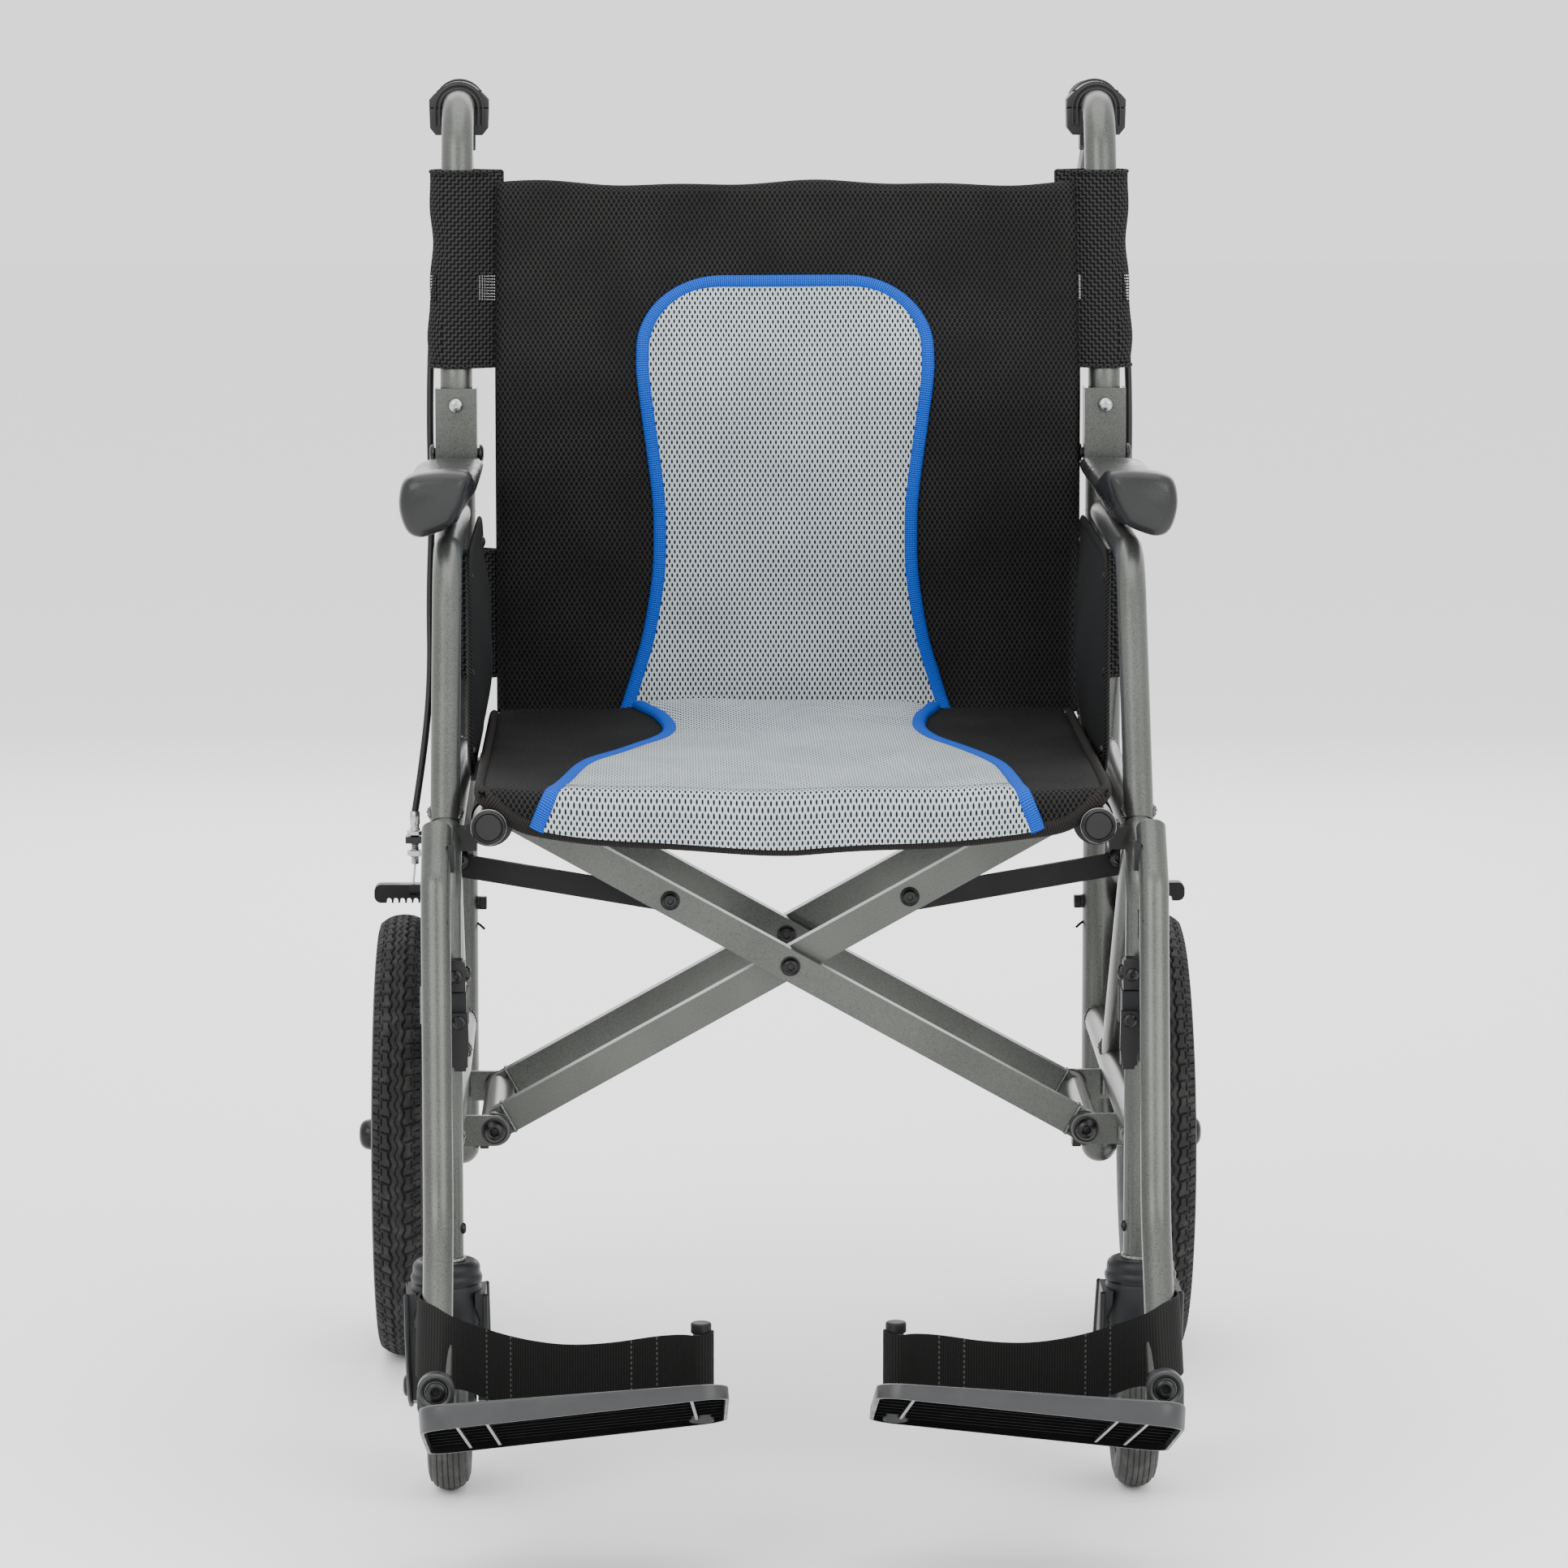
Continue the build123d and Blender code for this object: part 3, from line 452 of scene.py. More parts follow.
def skin(bm, rows, closed=False, loop=False, uvs=None, material=0):
    """Quads between rows of points. closed joins each row's ends, and loop the last row to the first."""
    layer = named_uv(bm) if uvs else None
    verts = [[bm.verts.new(at(*point)) for point in row] for row in rows]
    count = len(verts)
    for i in range(count if loop else count - 1):
        lower, upper = verts[i], verts[(i + 1) % count]
        width = len(lower)
        for j in range(width if closed else width - 1):
            k = (j + 1) % width
            face = bm.faces.new((lower[j], lower[k], upper[k], upper[j]))
            face.smooth = True
            face.material_index = material
            if uvs:
                steps = ((i, j), (i, j + 1), (i + 1, j + 1), (i + 1, j))
                for corner, (a, b) in zip(face.loops, steps):
                    u, v = uvs(a, b)
                    corner[layer].uv = (u / MM, v / MM)
    return verts


def named_uv(bm):
    return bm.loops.layers.uv.get(CLOTH_UV) or bm.loops.layers.uv.new(CLOTH_UV)


def turned(bm, outline, origin, axis, steps=40, material=0):
    """An outline of (radius, along) points, turned about the axis; a radius of 0 is a pole."""
    across, up, forward = frame_of(axis)
    origin = Vector(origin)
    rings = []
    for radius, along in outline:
        middle = origin + forward * along
        if radius < 1e-6:
            rings.append([bm.verts.new(at(*middle))])
            continue
        ring = []
        for step in range(steps):
            angle = tau * step / steps
            ring.append(bm.verts.new(at(*(middle + across * radius * cos(angle) + up * radius * sin(angle)))))
        rings.append(ring)
    for first, second in zip(rings, rings[1:]):
        for step in range(steps):
            after = (step + 1) % steps
            corners = [first[step % len(first)], first[after % len(first)]]
            corners += [second[after % len(second)], second[step % len(second)]]
            unique = list(dict.fromkeys(corners))
            if len(unique) > 2:
                face = bm.faces.new(unique)
                face.smooth = True
                face.material_index = material


def turned_ring(bm, outline, origin, steps, axis=(1, 0, 0), material=0):
    """A closed outline of (radius, along) points, turned about the axis."""
    across, up, forward = frame_of(axis)
    rows = []
    for step in range(steps):
        angle = tau * step / steps
        out = across * cos(angle) + up * sin(angle)
        rows.append([Vector(origin) + out * radius + forward * along for radius, along in outline])
    skin(bm, rows, closed=True, loop=True, material=material)


def rounded(radius, low, high, edge):
    """Outline of a disc or drum with rounded edges, for turned()."""
    points = [(0, low), (radius - edge, low)]
    points += [(radius - edge + edge * sin(a), low + edge * (1 - cos(a))) for a in (pi / 4, pi / 2)]
    points += [(radius - edge + edge * cos(a), high - edge * (1 - sin(a))) for a in (0, pi / 4)]
    return points + [(radius - edge, high), (0, high)]


def hexagon(bm, origin, axis, low, high, across_flats, material=0):
    """A hexagonal nut or head with chamfered corners."""
    corner = across_flats / 3**0.5
    chamfer = 0.8
    outline = [(0, low), (corner - chamfer, low), (corner, low + chamfer * 0.6)]
    outline += [(corner, high - chamfer * 0.6), (corner - chamfer, high), (0, high)]
    turned(bm, outline, origin, axis, 6, material)


def button_head(bm, origin, axis, radius, height, material=0):
    """A domed screw head with a hexagonal socket. The axis points out of the surface."""
    socket = radius * 0.42
    dome = [(radius, -0.5), (radius, height * 0.25), (radius * 0.92, height * 0.6)]
    dome += [(radius * 0.72, height * 0.9), (socket * 1.2, height), (socket, height * 0.92)]
    turned(bm, dome, origin, axis, 24, material)
    well = [(socket, height * 0.92), (socket * 0.95, height * 0.2), (0, height * 0.15)]
    turned(bm, well, origin, axis, 6, material)


def strand(bm, points, radius, sides=10, closed=False, flat=1.0, up=None, material=0, length_uv=False):
    """A round or flattened bar along points. radius may depend on the share of the length."""
    points = [Vector(p) for p in points]
    count = len(points)
    normal = Vector(up) if up else Vector((0, 0, 1))
    rows, travelled = [], [0.0]
    for index, point in enumerate(points):
        before = points[index - 1] if index or closed else point
        after = points[(index + 1) % count] if index < count - 1 or closed else point
        along = (after - before).normalized()
        side = along.cross(normal)
        if side.length < 1e-3:
            side = along.cross(Vector((1, 0.2, 0.1)))
        side.normalize()
        normal = side.cross(along).normalized()
        size = radius(index / max(1, count - 1)) if callable(radius) else radius
        ring = []
        for step in range(sides):
            angle = tau * step / sides
            ring.append(point + side * size * cos(angle) + normal * size * flat * sin(angle))
        rows.append(ring)
        if index:
            travelled.append(travelled[-1] + (point - points[index - 1]).length)
    travelled.append(travelled[-1] + (points[0] - points[-1]).length)
    turn = tau / sides * (radius(0.5) if callable(radius) else radius)
    uvs = (lambda a, b: (travelled[a], b * turn)) if length_uv else None
    verts = skin(bm, rows, closed=True, loop=closed, uvs=uvs, material=material)
    if not closed:
        for ring in (verts[0][::-1], verts[-1]):
            bm.faces.new(ring).material_index = material


def extruded(bm, outline, low, high, axis="y", bevel=0.0, material=0):
    """A closed outline pushed along an axis: (x, z) points for y, and (y, z) points for x."""
    ends = []
    for level in (low, high):
        place = (lambda a, b: (a, level, b)) if axis == "y" else (lambda a, b: (level, a, b))
        ends.append([bm.verts.new(at(*place(a, b))) for a, b in outline])
    faces = [bm.faces.new(ends[0]), bm.faces.new(ends[1][::-1])]
    count = len(outline)
    for index in range(count):
        after = (index + 1) % count
        faces.append(bm.faces.new((ends[0][after], ends[0][index], ends[1][index], ends[1][after])))
    for face in faces:
        face.material_index = material
    if bevel:
        edges = {edge for face in faces[:2] for edge in face.edges}
        bmesh.ops.bevel(bm, geom=list(edges), offset=bevel / MM, segments=3, profile=0.6, affect="EDGES")


def piece(name, bm, materials, body=None, sharp=40):
    """Turns bm into an object that shows materials and rides on body."""
    bmesh.ops.remove_doubles(bm, verts=bm.verts[:], dist=1e-6)
    bmesh.ops.recalc_face_normals(bm, faces=bm.faces[:])
    for face in bm.faces:
        face.smooth = True
    mesh = bpy.data.meshes.new(name)
    bm.to_mesh(mesh)
    bm.free()
    for material in materials if isinstance(materials, (list, tuple)) else [materials]:
        mesh.materials.append(material)
    mesh.set_sharp_from_angle(angle=radians(sharp))
    made = bpy.data.objects.new(name, mesh)
    bpy.context.scene.collection.objects.link(made)
    if body:
        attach(made, body)
    return made


def curved(value, knots):
    """Catmull-Rom curve through (place, value) knots, without flat spots at the knots."""
    value = min(max(value, knots[0][0]), knots[-1][0])
    for index in range(len(knots) - 1):
        (a, first), (b, second) = knots[index], knots[index + 1]
        if value <= b:
            break
    before = knots[max(index - 1, 0)]
    after = knots[min(index + 2, len(knots) - 1)]
    share = (value - a) / (b - a)
    start = (second - before[1]) / (b - before[0]) * (b - a)
    end = (after[1] - first) / (after[0] - a) * (b - a)
    square, cube = share**2, share**3
    return (
        (2 * cube - 3 * square + 1) * first
        + (cube - 2 * square + share) * start
        + (3 * square - 2 * cube) * second
        + (cube - square) * end
    )


def looped(place, points, axis):
    """A smooth closed curve through the points, as one of its coordinates."""
    count = len(points)
    first = int(place) % count
    t = place - int(place)
    a, b, c, d = (points[(first + k) % count][axis] for k in (-1, 0, 1, 2))
    return b + 0.5 * t * (c - a + t * (2 * a - 5 * b + 4 * c - d + t * (3 * (b - c) + d - a)))


def spread(low, high, count):
    return [low + (high - low) * index / (count - 1) for index in range(count)]


def smoothed(points, rounds=2):
    """Averages each inner point with its neighbours."""
    points = [Vector(p) for p in points]
    for _ in range(rounds):
        inner = [(a + b * 2 + c) / 4 for a, b, c in zip(points, points[1:], points[2:])]
        points = [points[0], *inner, points[-1]]
    return points


# ---- both sides ----
def mirrored(bm, sign):
    """Turns a mesh made for the +X side into its mirror image where sign is negative."""
    if sign < 0:
        bmesh.ops.scale(bm, vec=(-1, 1, 1), verts=bm.verts[:])


def paired(name, make, materials, body, sharp=40):
    """Builds make() for the +X side and its mirror image, and returns them as {side: object}."""
    made = {}
    for side, sign in SIDES:
        bm = make()
        mirrored(bm, sign)
        made[side] = piece(f"{side}_{name}", bm, materials, f"{side}_{body}" if body else None, sharp)
    return made


def stand_for(made, *nodes):
    """Each side's object is shown in place of that side's CAD nodes."""
    for side, thing in made.items():
        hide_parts(*[f"{side}_{node}" for node in nodes])


# ---- back upholstery ----
HINGE_REACH = 16.0  # the pad's face is this far ahead of the back hinge's axis
BACK_LEFT, BACK_RIGHT = -198.0, 208.0
BACK_BOTTOM, BACK_TOP = 455.0, 823.0
LEAN_START = 669.0
LEAN_R = 120.0
LEAN = atan2(46, 128)
WRAP = HINGE_REACH * pi / 2
INSERT_X = 3.0
INSERT_OUTLINE = [
    (455, 111.5), (480, 103.5), (509, 95), (551, 88), (580, 86.7), (608, 87.7), (664, 94.8), (693, 98.3),
    (708, 98.3),
]
INSERT_CORNER = (55.0, 49.0)  # width and height of its rounded upper corners
INSERT_TOP = 757.0


def back_face(s, off, part):
    """(Y, Z) on the back's front face: s runs up the face, and off is the distance out of it.

    Past the hinge's height each part curls round the hinge's axis, so that the two stay joined in a fold.
    """
    beyond = (s - HINGE_Z) * (1 if part == "lower" else -1)
    if beyond > 0:
        angle = beyond / HINGE_REACH
        reach = HINGE_REACH + off
        rise = reach * sin(angle) * (1 if part == "lower" else -1)
        return -reach * cos(angle), HINGE_Z + rise
    if s <= LEAN_START:
        return -HINGE_REACH - off, s
    angle = min((s - LEAN_START) / LEAN_R, LEAN)
    rest = max(0.0, s - LEAN_START - LEAN * LEAN_R)
    reach = LEAN_R + off
    y = -HINGE_REACH + LEAN_R - reach * cos(angle) + rest * sin(angle)
    return y, LEAN_START + reach * sin(angle) + rest * cos(angle)


def near_hinge(s):
    """1 away from the back hinge and 0 at it, so that both parts of the pad meet there."""
    return 1 - exp(-(((s - HINGE_Z) / 26) ** 2))


def back_swell(x, s):
    """How far the padded face stands out, with soft dents."""
    middle = (BACK_LEFT + BACK_RIGHT) / 2
    edge = abs(x - middle) / ((BACK_RIGHT - BACK_LEFT) / 2)
    swell = 2.5 * (1 - edge**4)
    dents = 1.3 * sin(x / 47 + 1.0) * sin(s / 39 + x / 160) + 0.8 * sin(x / 23 + s / 31) * sin(s / 27)
    return swell + dents * near_hinge(s)


def back_pad(part):
    """The closed, padded body of one part of the back."""
    half_thick = 8.5
    columns = spread(BACK_LEFT, BACK_RIGHT, 90)
    if part == "lower":
        fronts = spread(BACK_BOTTOM, HINGE_Z + WRAP, 64)
    else:
        fronts = spread(HINGE_Z - WRAP, BACK_TOP, 84)
    rows = []
    for x in columns:
        edge = min(x - BACK_LEFT, BACK_RIGHT - x)
        full = min(1.0, edge / 9)
        round_edge = (1 - (1 - full) ** 2) ** 0.5
        wave = 1.6 * sin(x / 34 + 0.7) + 1.0 * sin(x / 15)
        row = []
        for s in fronts:
            swell = back_swell(x, s) * round_edge - half_thick * (1 - round_edge)
            if part == "lower":
                swell -= 7 * max(0.0, 1 - (s - BACK_BOTTOM) / 7) ** 2
            row.append((x, *back_face(s, swell, part)))
        if part == "upper":
            for angle in spread(radians(15), radians(165), 9):
                lift = (9 + wave) * sin(angle)
                out = half_thick * (cos(angle) * round_edge - 1)
                row.append((x, *back_face(BACK_TOP + lift, out, part)))
            for s in spread(BACK_TOP - 1, HINGE_Z + 6, 30):
                y, z = back_face(s, -half_thick * (1 + round_edge), part)
                row.append((x, y + 0.6 * sin(x / 31 + s / 43), z))
            row.append((x, 1.2, HINGE_Z - 2))
            row.append((x, 1.0, HINGE_Z - 10))
        else:
            row.append((x, 1.2, HINGE_Z + 11))
            row.append((x, 1.2, HINGE_Z + 2))
            for s in spread(HINGE_Z - 4, BACK_BOTTOM + 6, 26):
                row.append((x, 1 - HINGE_REACH + half_thick * (1 + round_edge), s))
            row.append((x, -6, BACK_BOTTOM))
        rows.append(row)
    sample = rows[len(rows) // 2]
    lengths = [0.0]
    for first, second in zip(sample, sample[1:] + sample[:1]):
        lengths.append(lengths[-1] + hypot(second[1] - first[1], second[2] - first[2]))
    bm = bmesh.new()
    verts = skin(bm, rows, closed=True, uvs=lambda a, b: (columns[a], fronts[0] + lengths[b]))
    bm.faces.new(verts[0])
    bm.faces.new(verts[-1][::-1])
    return bm


def insert_width(s):
    """Half the grey insert's width at s on the back."""
    corner_width, corner_height = INSERT_CORNER
    start = INSERT_TOP - corner_height
    if s <= start:
        return curved(s, INSERT_OUTLINE)
    share = min(1.0, (s - start) / corner_height)
    return INSERT_OUTLINE[-1][1] - corner_width * (1 - (1 - share**2) ** 0.5)


def corner_levels(count):
    """Places up the insert's rounded corners, closer together towards its top."""
    height = INSERT_CORNER[1]
    return [INSERT_TOP - height * (1 - sin(angle)) for angle in spread(0, pi / 2, count)[1:]]


def back_insert(part):
    """The raised grey insert, from one piping to the other."""
    low, high = (BACK_BOTTOM, HINGE_Z + WRAP) if part == "lower" else (HINGE_Z - WRAP, INSERT_TOP)
    levels = spread(low, min(high, INSERT_TOP - INSERT_CORNER[1]), 44)
    if part == "upper":
        levels += corner_levels(18)
    shares = spread(-1, 1, 61)
    rows, flat = [], []
    for s in levels:
        half = insert_width(s)
        row = []
        for share in shares:
            x = INSERT_X + half * share
            rim = min(1.0, (1 - abs(share)) * half / 10)
            top_rim = min(1.0, max(0.0, INSERT_TOP - s) / 10)
            off = back_swell(x, s) + 0.5 + 3.2 * (rim * top_rim) ** 0.6
            row.append((x, *back_face(s, off, part)))
        rows.append(row)
        flat.append([INSERT_X + half * share for share in shares])
    bm = bmesh.new()
    skin(bm, rows, uvs=lambda a, b: (flat[a][b], levels[a]))
    return bm


def ribbon(bm, path, surface, half_width, height, sections=9):
    """A domed band along path, a list of (x, s) places on a surface that takes (x, s, off)."""
    rows, travelled = [], [0.0]
    for index, (x, s) in enumerate(path):
        before, after = path[max(index - 1, 0)], path[min(index + 1, len(path) - 1)]
        along = Vector((after[0] - before[0], after[1] - before[1])).normalized()
        side = Vector((-along.y, along.x))
        row = []
        for step in range(sections):
            angle = pi * step / (sections - 1)
            place = Vector((x, s)) + side * half_width * cos(angle)
            row.append(surface(place.x, place.y, 0.2 + height * sin(angle) ** 0.7))
        rows.append(row)
        if index:
            travelled.append(travelled[-1] + (Vector(path[index]) - Vector(path[index - 1])).length)
    skin(bm, rows, uvs=lambda a, b: (travelled[a], b * 2 * half_width / (sections - 1)))


def back_piping(part):
    """The blue band round the back's insert."""

    def surface(x, s, off):
        return (x, *back_face(s, off + back_swell(x, s), part))

    bm = bmesh.new()
    if part == "lower":
        levels = spread(BACK_BOTTOM + 1, HINGE_Z + WRAP, 90)
        for side in (-1, 1):
            path = [(INSERT_X + side * insert_width(s), s) for s in levels]
            ribbon(bm, path, surface, 4.8, 3.6)
        return bm
    levels = spread(HINGE_Z - WRAP, INSERT_TOP - INSERT_CORNER[1], 60) + corner_levels(30)
    left = [(INSERT_X - insert_width(s), s) for s in levels]
    right = [(INSERT_X + insert_width(s), s) for s in reversed(levels)]
    top = [(x, INSERT_TOP) for x in spread(left[-1][0], right[0][0], 30)[1:-1]]
    ribbon(bm, left + top + right, surface, 4.8, 3.6)
    return bm


def squashed(made):
    """Gives the piece its own copy of its mesh."""
    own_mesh(made)
    return made


def back_upholstery():
    for part, body in (("lower", "right_side"), ("upper", "right_back")):
        pad = piece(f"back_pad_{part}", back_pad(part), MESH_BLACK, body, 60)
        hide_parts(f"back_{part}")
        insert = piece(f"back_insert_{part}", back_insert(part), MESH_GREY, body, 60)
        piping = piece(f"back_piping_{part}", back_piping(part), PIPING, body, 60)
        for made in (pad, insert, piping):
            squashed(made)


# ---- seat ----
SEAT_HALF = 199.0
SEAT_REAR = -45.0
SEAT_DEPTH = 402.0
SEAT_THICK = 11.5
SEAT_INSERT_X = [(0, 3), (60, 6), (120, 7), (200, 4.5), (280, 1), (350, -2), (400, -4), (440, -4.5)]
SEAT_INSERT = [
    (0, 102), (22, 97), (50, 89), (94, 84.5), (132, 91), (179, 108), (235, 124), (288, 135.5),
    (350, 142.5), (392, 147.5), (415, 156), (440, 166),
]
SEAT_DROP = [(0, 31), (90, 27.5), (150, 24.5), (174, 21), (187, 12), (199, 1.5)]


def seat_top(x, y):
    """Height of the seat's padded face: it sags between the rails towards the front."""
    ahead = min(1.0, max(0.0, (SEAT_REAR - y) / SEAT_DEPTH))
    across = abs(x) / SEAT_HALF
    crest = 5.0 * exp(-((x / 115) ** 4)) * (1 - ahead) ** 2
    sag = 7.5 * (1 - across**2) * ahead**1.3
    sag += 4.5 * max(0.0, 1 - across**4) * exp(-(((ahead - 0.32) / 0.22) ** 2))
    inside = max(0.0, 1 - across**6)
    dents = 0.9 * sin(x / 39 + 0.4) * sin(y / 44) + 0.6 * sin(x / 18 + y / 33)
    return 461.5 + crest - sag + dents * inside


def seat_runs(x):
    """Lengths of the flat top, the rolled front edge and the flap below it, and the roll's radius."""
    drop = curved(abs(x), SEAT_DROP)
    roll = min(11.0, 0.9 * drop)
    return SEAT_DEPTH - roll, roll * pi / 2, drop - roll, roll


def seat_face(x, t, off):
    """A point on the seat, t behind which runs from the rear edge over the front roll to the hem."""
    top, arc, flap, roll = seat_runs(x)
    edge_y = SEAT_REAR - top
    if t <= top:
        y = SEAT_REAR - t
        return x, y, seat_top(x, y) + off
    middle = seat_top(x, edge_y) - roll
    if t <= top + arc:
        angle = (t - top) / roll
        return x, edge_y - (roll + off) * sin(angle), middle + (roll + off) * cos(angle)
    return x, edge_y - roll - off, middle - (t - top - arc)


def seat_t(x, share):
    """Place along the seat: 0 to 1 on the top, 1 to 2 round the roll and 2 to 3 down the flap."""
    top, arc, flap, _ = seat_runs(x)
    return min(share, 1) * top + min(max(share - 1, 0), 1) * arc + max(share - 2, 0) * flap


SEAT_SHARES = spread(0, 1, 62) + spread(1, 2, 9)[1:] + spread(2, 3, 9)[1:]


def seat_pad():
    """The seat's padded body, with its rolled front edge and the flap below it."""
    columns = spread(-SEAT_HALF, SEAT_HALF, 96)
    rows, lengths = [], []
    for x in columns:
        full = min(1.0, (SEAT_HALF - abs(x)) / 7)
        bulge = (1 - (1 - full) ** 2) ** 0.5
        row = [seat_face(x, seat_t(x, share), -SEAT_THICK / 2 * (1 - bulge)) for share in SEAT_SHARES]
        row += [seat_face(x, seat_t(x, share), -5 * bulge - 1) for share in spread(3, 2, 7)]
        under = -SEAT_THICK / 2 * (1 + bulge)
        row += [seat_face(x, seat_t(x, share), under) for share in spread(0.97, 0.01, 30)]
        rows.append(row)
        lengths.append([seat_t(x, share) for share in SEAT_SHARES])

    def uvs(a, b):
        b = min(b, 2 * len(SEAT_SHARES) - 1 - b)
        return columns[a], lengths[a][max(0, b)]

    bm = bmesh.new()
    verts = skin(bm, rows, closed=True, uvs=uvs)
    bm.faces.new(verts[0])
    bm.faces.new(verts[-1][::-1])
    return bm


def seat_insert_place(side, share):
    """(x, t) on the edge of the seat's grey insert, or between its edges for a side between -1 and 1."""
    x, t = 0.0, 0.0
    for _ in range(6):
        t = seat_t(x, share)
        x = curved(t, SEAT_INSERT_X) + side * curved(t, SEAT_INSERT)
    return x, t


def seat_insert():
    """The raised grey insert on the seat and its flap."""
    shares = spread(-1, 1, 71)
    places = [[seat_insert_place(side, share) for side in shares] for share in SEAT_SHARES]
    rows = []
    for row in places:
        half = (row[-1][0] - row[0][0]) / 2
        points = []
        for (x, t), side in zip(row, shares):
            rim = min(1.0, (1 - abs(side)) * half / 12)
            rear = min(1.0, 0.25 + t / 14)
            points.append(seat_face(x, t, 0.4 + 4.2 * (rim * rear) ** 0.6))
        rows.append(points)
    bm = bmesh.new()
    skin(bm, rows, uvs=lambda a, b: places[a][b])
    return bm


def seat_piping():
    """Blue bands along both edges of the seat's insert."""
    def surface(x, t, off):
        return seat_face(x, max(t, 0), off + 0.3)

    bm = bmesh.new()
    for side in (-1, 1):
        path = [seat_insert_place(side, share) for share in spread(0, 1, 80) + spread(1, 3, 24)[1:]]
        ribbon(bm, path, surface, 5.0, 3.6)
    return bm


def seat_edge():
    """Points along the seat's bound edge: up the right side, along the front hem and back."""
    sides = [seat_face(SEAT_HALF, t, -SEAT_THICK / 2) for t in spread(0, SEAT_DEPTH - 12, 26)]
    front = [seat_face(x, seat_t(x, 3), -3.0) for x in spread(-SEAT_HALF + 1, SEAT_HALF - 1, 110)]
    right = [(-x, y, z) for x, y, z in sides]
    return right + front + sides[::-1]


def across_braces(made):
    """Bakes the piece's placement into its mesh. The two seat rails ride on the two halves of the cross
    frame.
    """
    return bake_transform(made)


def seat_hem():
    bm = bmesh.new()
    strand(bm, smoothed(seat_edge(), 4), 6.4, 14, flat=0.6, up=(-1, 0, 0), length_uv=True)
    return bm


def seat_seam():
    """The stitched line across the insert, just behind its rolled front edge."""
    bm = bmesh.new()
    places = [seat_insert_place(side, 0.985) for side in spread(-0.96, 0.96, 90)]
    strand(bm, [seat_face(x, t, 4.7) for x, t in places], 0.55, 6)
    return bm


def rail_sleeve():
    """The seat fabric's tunnels round a seat rail, with a gap for the link."""
    bm = bmesh.new()
    radius = 12.2
    angles = spread(0, tau, 25)[:-1]
    for front, rear in ((-408, -104), (-77, -50)):
        rows = []
        for y in spread(front, rear, 12):
            rows.append([(RAIL_X + radius * cos(a), y, RAIL_Z + radius * sin(a)) for a in angles])
        skin(bm, rows, closed=True, uvs=lambda a, b: (a * 25, b * 3))
    return bm


def seat_upholstery():
    pad = piece("seat_pad", seat_pad(), MESH_BLACK, sharp=60)
    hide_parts("seat")
    insert = piece("seat_insert", seat_insert(), MESH_GREY, sharp=60)
    piping = piece("seat_piping", seat_piping(), PIPING, sharp=60)
    hem = piece("seat_hem", seat_hem(), HEM, sharp=60)
    seam = piece("seat_seam", seat_seam(), GREY_THREAD)
    for made in (pad, insert, piping, hem, seam):
        across_braces(made)
    for side, sign, body in BRACE_SIDES:
        bm = rail_sleeve()
        mirrored(bm, sign)
        piece(f"{side}_rail_sleeve", bm, TWILL, body)


# ---- woven sleeves round the canes and the rear posts ----
WINDOW = (741.0, 758.0)  # where the weave is a single layer that shows light through it
YARN = (0.75, 1.25)  # widths of a yarn and of the hole beside it


def cane_y(z):
    """The cane leans back above its bend."""
    lean = 66 / 183.4
    return lean * (z - 690) if z > 705 else lean * 15 * max(0.0, (z - 675) / 30) ** 2


def sleeve(low, high, centre_y, reach_out, window=None):
    """A flattened loop of open weave, from outside the tube to the pad's edge."""
    outline = [(-reach_out, 0), (-14.5, -7), (-7, -11.6), (0, -13.2), (8, -12.4), (17, -8.6), (26, -5.5)]
    outline += [(32, -3.5), (32, 2.5), (26, 4.5), (17, 8), (8, 12.2), (0, 13.2), (-7, 11.6), (-14.5, 7)]
    loop = outline + outline[:1]
    knots = [0.0]
    for first, second in zip(loop, loop[1:]):
        knots.append(knots[-1] + hypot(second[0] - first[0], second[1] - first[1]))
    around, place = [], 0.0
    while place < knots[-1] - 1:
        around += [place, place + YARN[0]]
        place += sum(YARN)
    side_knots = [(k, p[0]) for k, p in zip(knots, loop)]
    depth_knots = [(k, p[1]) for k, p in zip(knots, loop)]
    levels = spread(low, high, 24)
    if window:
        levels = spread(low, window[0], 9)[:-1]
        level = window[0]
        while level < window[1]:
            levels += [level, level + YARN[1]]
            level += sum(YARN)
        levels += spread(level, high, 13)
    rows = []
    for z in levels:
        slack = 1.2 * sin((z - low) / 17) + 0.7 * sin(z / 7)
        row = []
        for p in around:
            out = curved(p, side_knots)
            push = 1 + 0.05 * sin(z / 11 + p / 9)
            x = POST_X - out + (slack if out < -8 else 0)
            row.append((x, centre_y(z) + curved(p, depth_knots) * push, z))
        rows.append(row)
    bm = bmesh.new()
    around_uv = around + [knots[-1]]
    skin(bm, rows, closed=True, uvs=lambda a, b: (around_uv[b], levels[a]))
    if window:
        bm.faces.ensure_lookup_table()
        open_faces = []
        for index, face in enumerate(bm.faces):
            i, j = divmod(index, len(around))
            if not (window[0] - 0.1 < levels[i] < window[1]) or j % 2 == 0:
                continue
            out = curved(around[j], side_knots)
            hole_row = abs(levels[i + 1] - levels[i] - YARN[1]) < 0.01
            if hole_row and (out > 15 or out < -14):
                open_faces.append(face)
        bmesh.ops.delete(bm, geom=open_faces, context="FACES")
    return bm, knots[-1]


def sleeve_border(level, centre_y, reach):
    """The hemmed end of a sleeve: wide towards the pad, round outside the tube."""
    edge = []
    for angle in spread(0, tau, 41)[:-1]:
        across = cos(angle)
        x = POST_X + across * (reach if across > 0 else 31)
        depth = 13.4 if across > 0 else 13.4 - 9.5 * across**2
        edge.append((x, centre_y(level) + depth * sin(angle), level))
    return edge


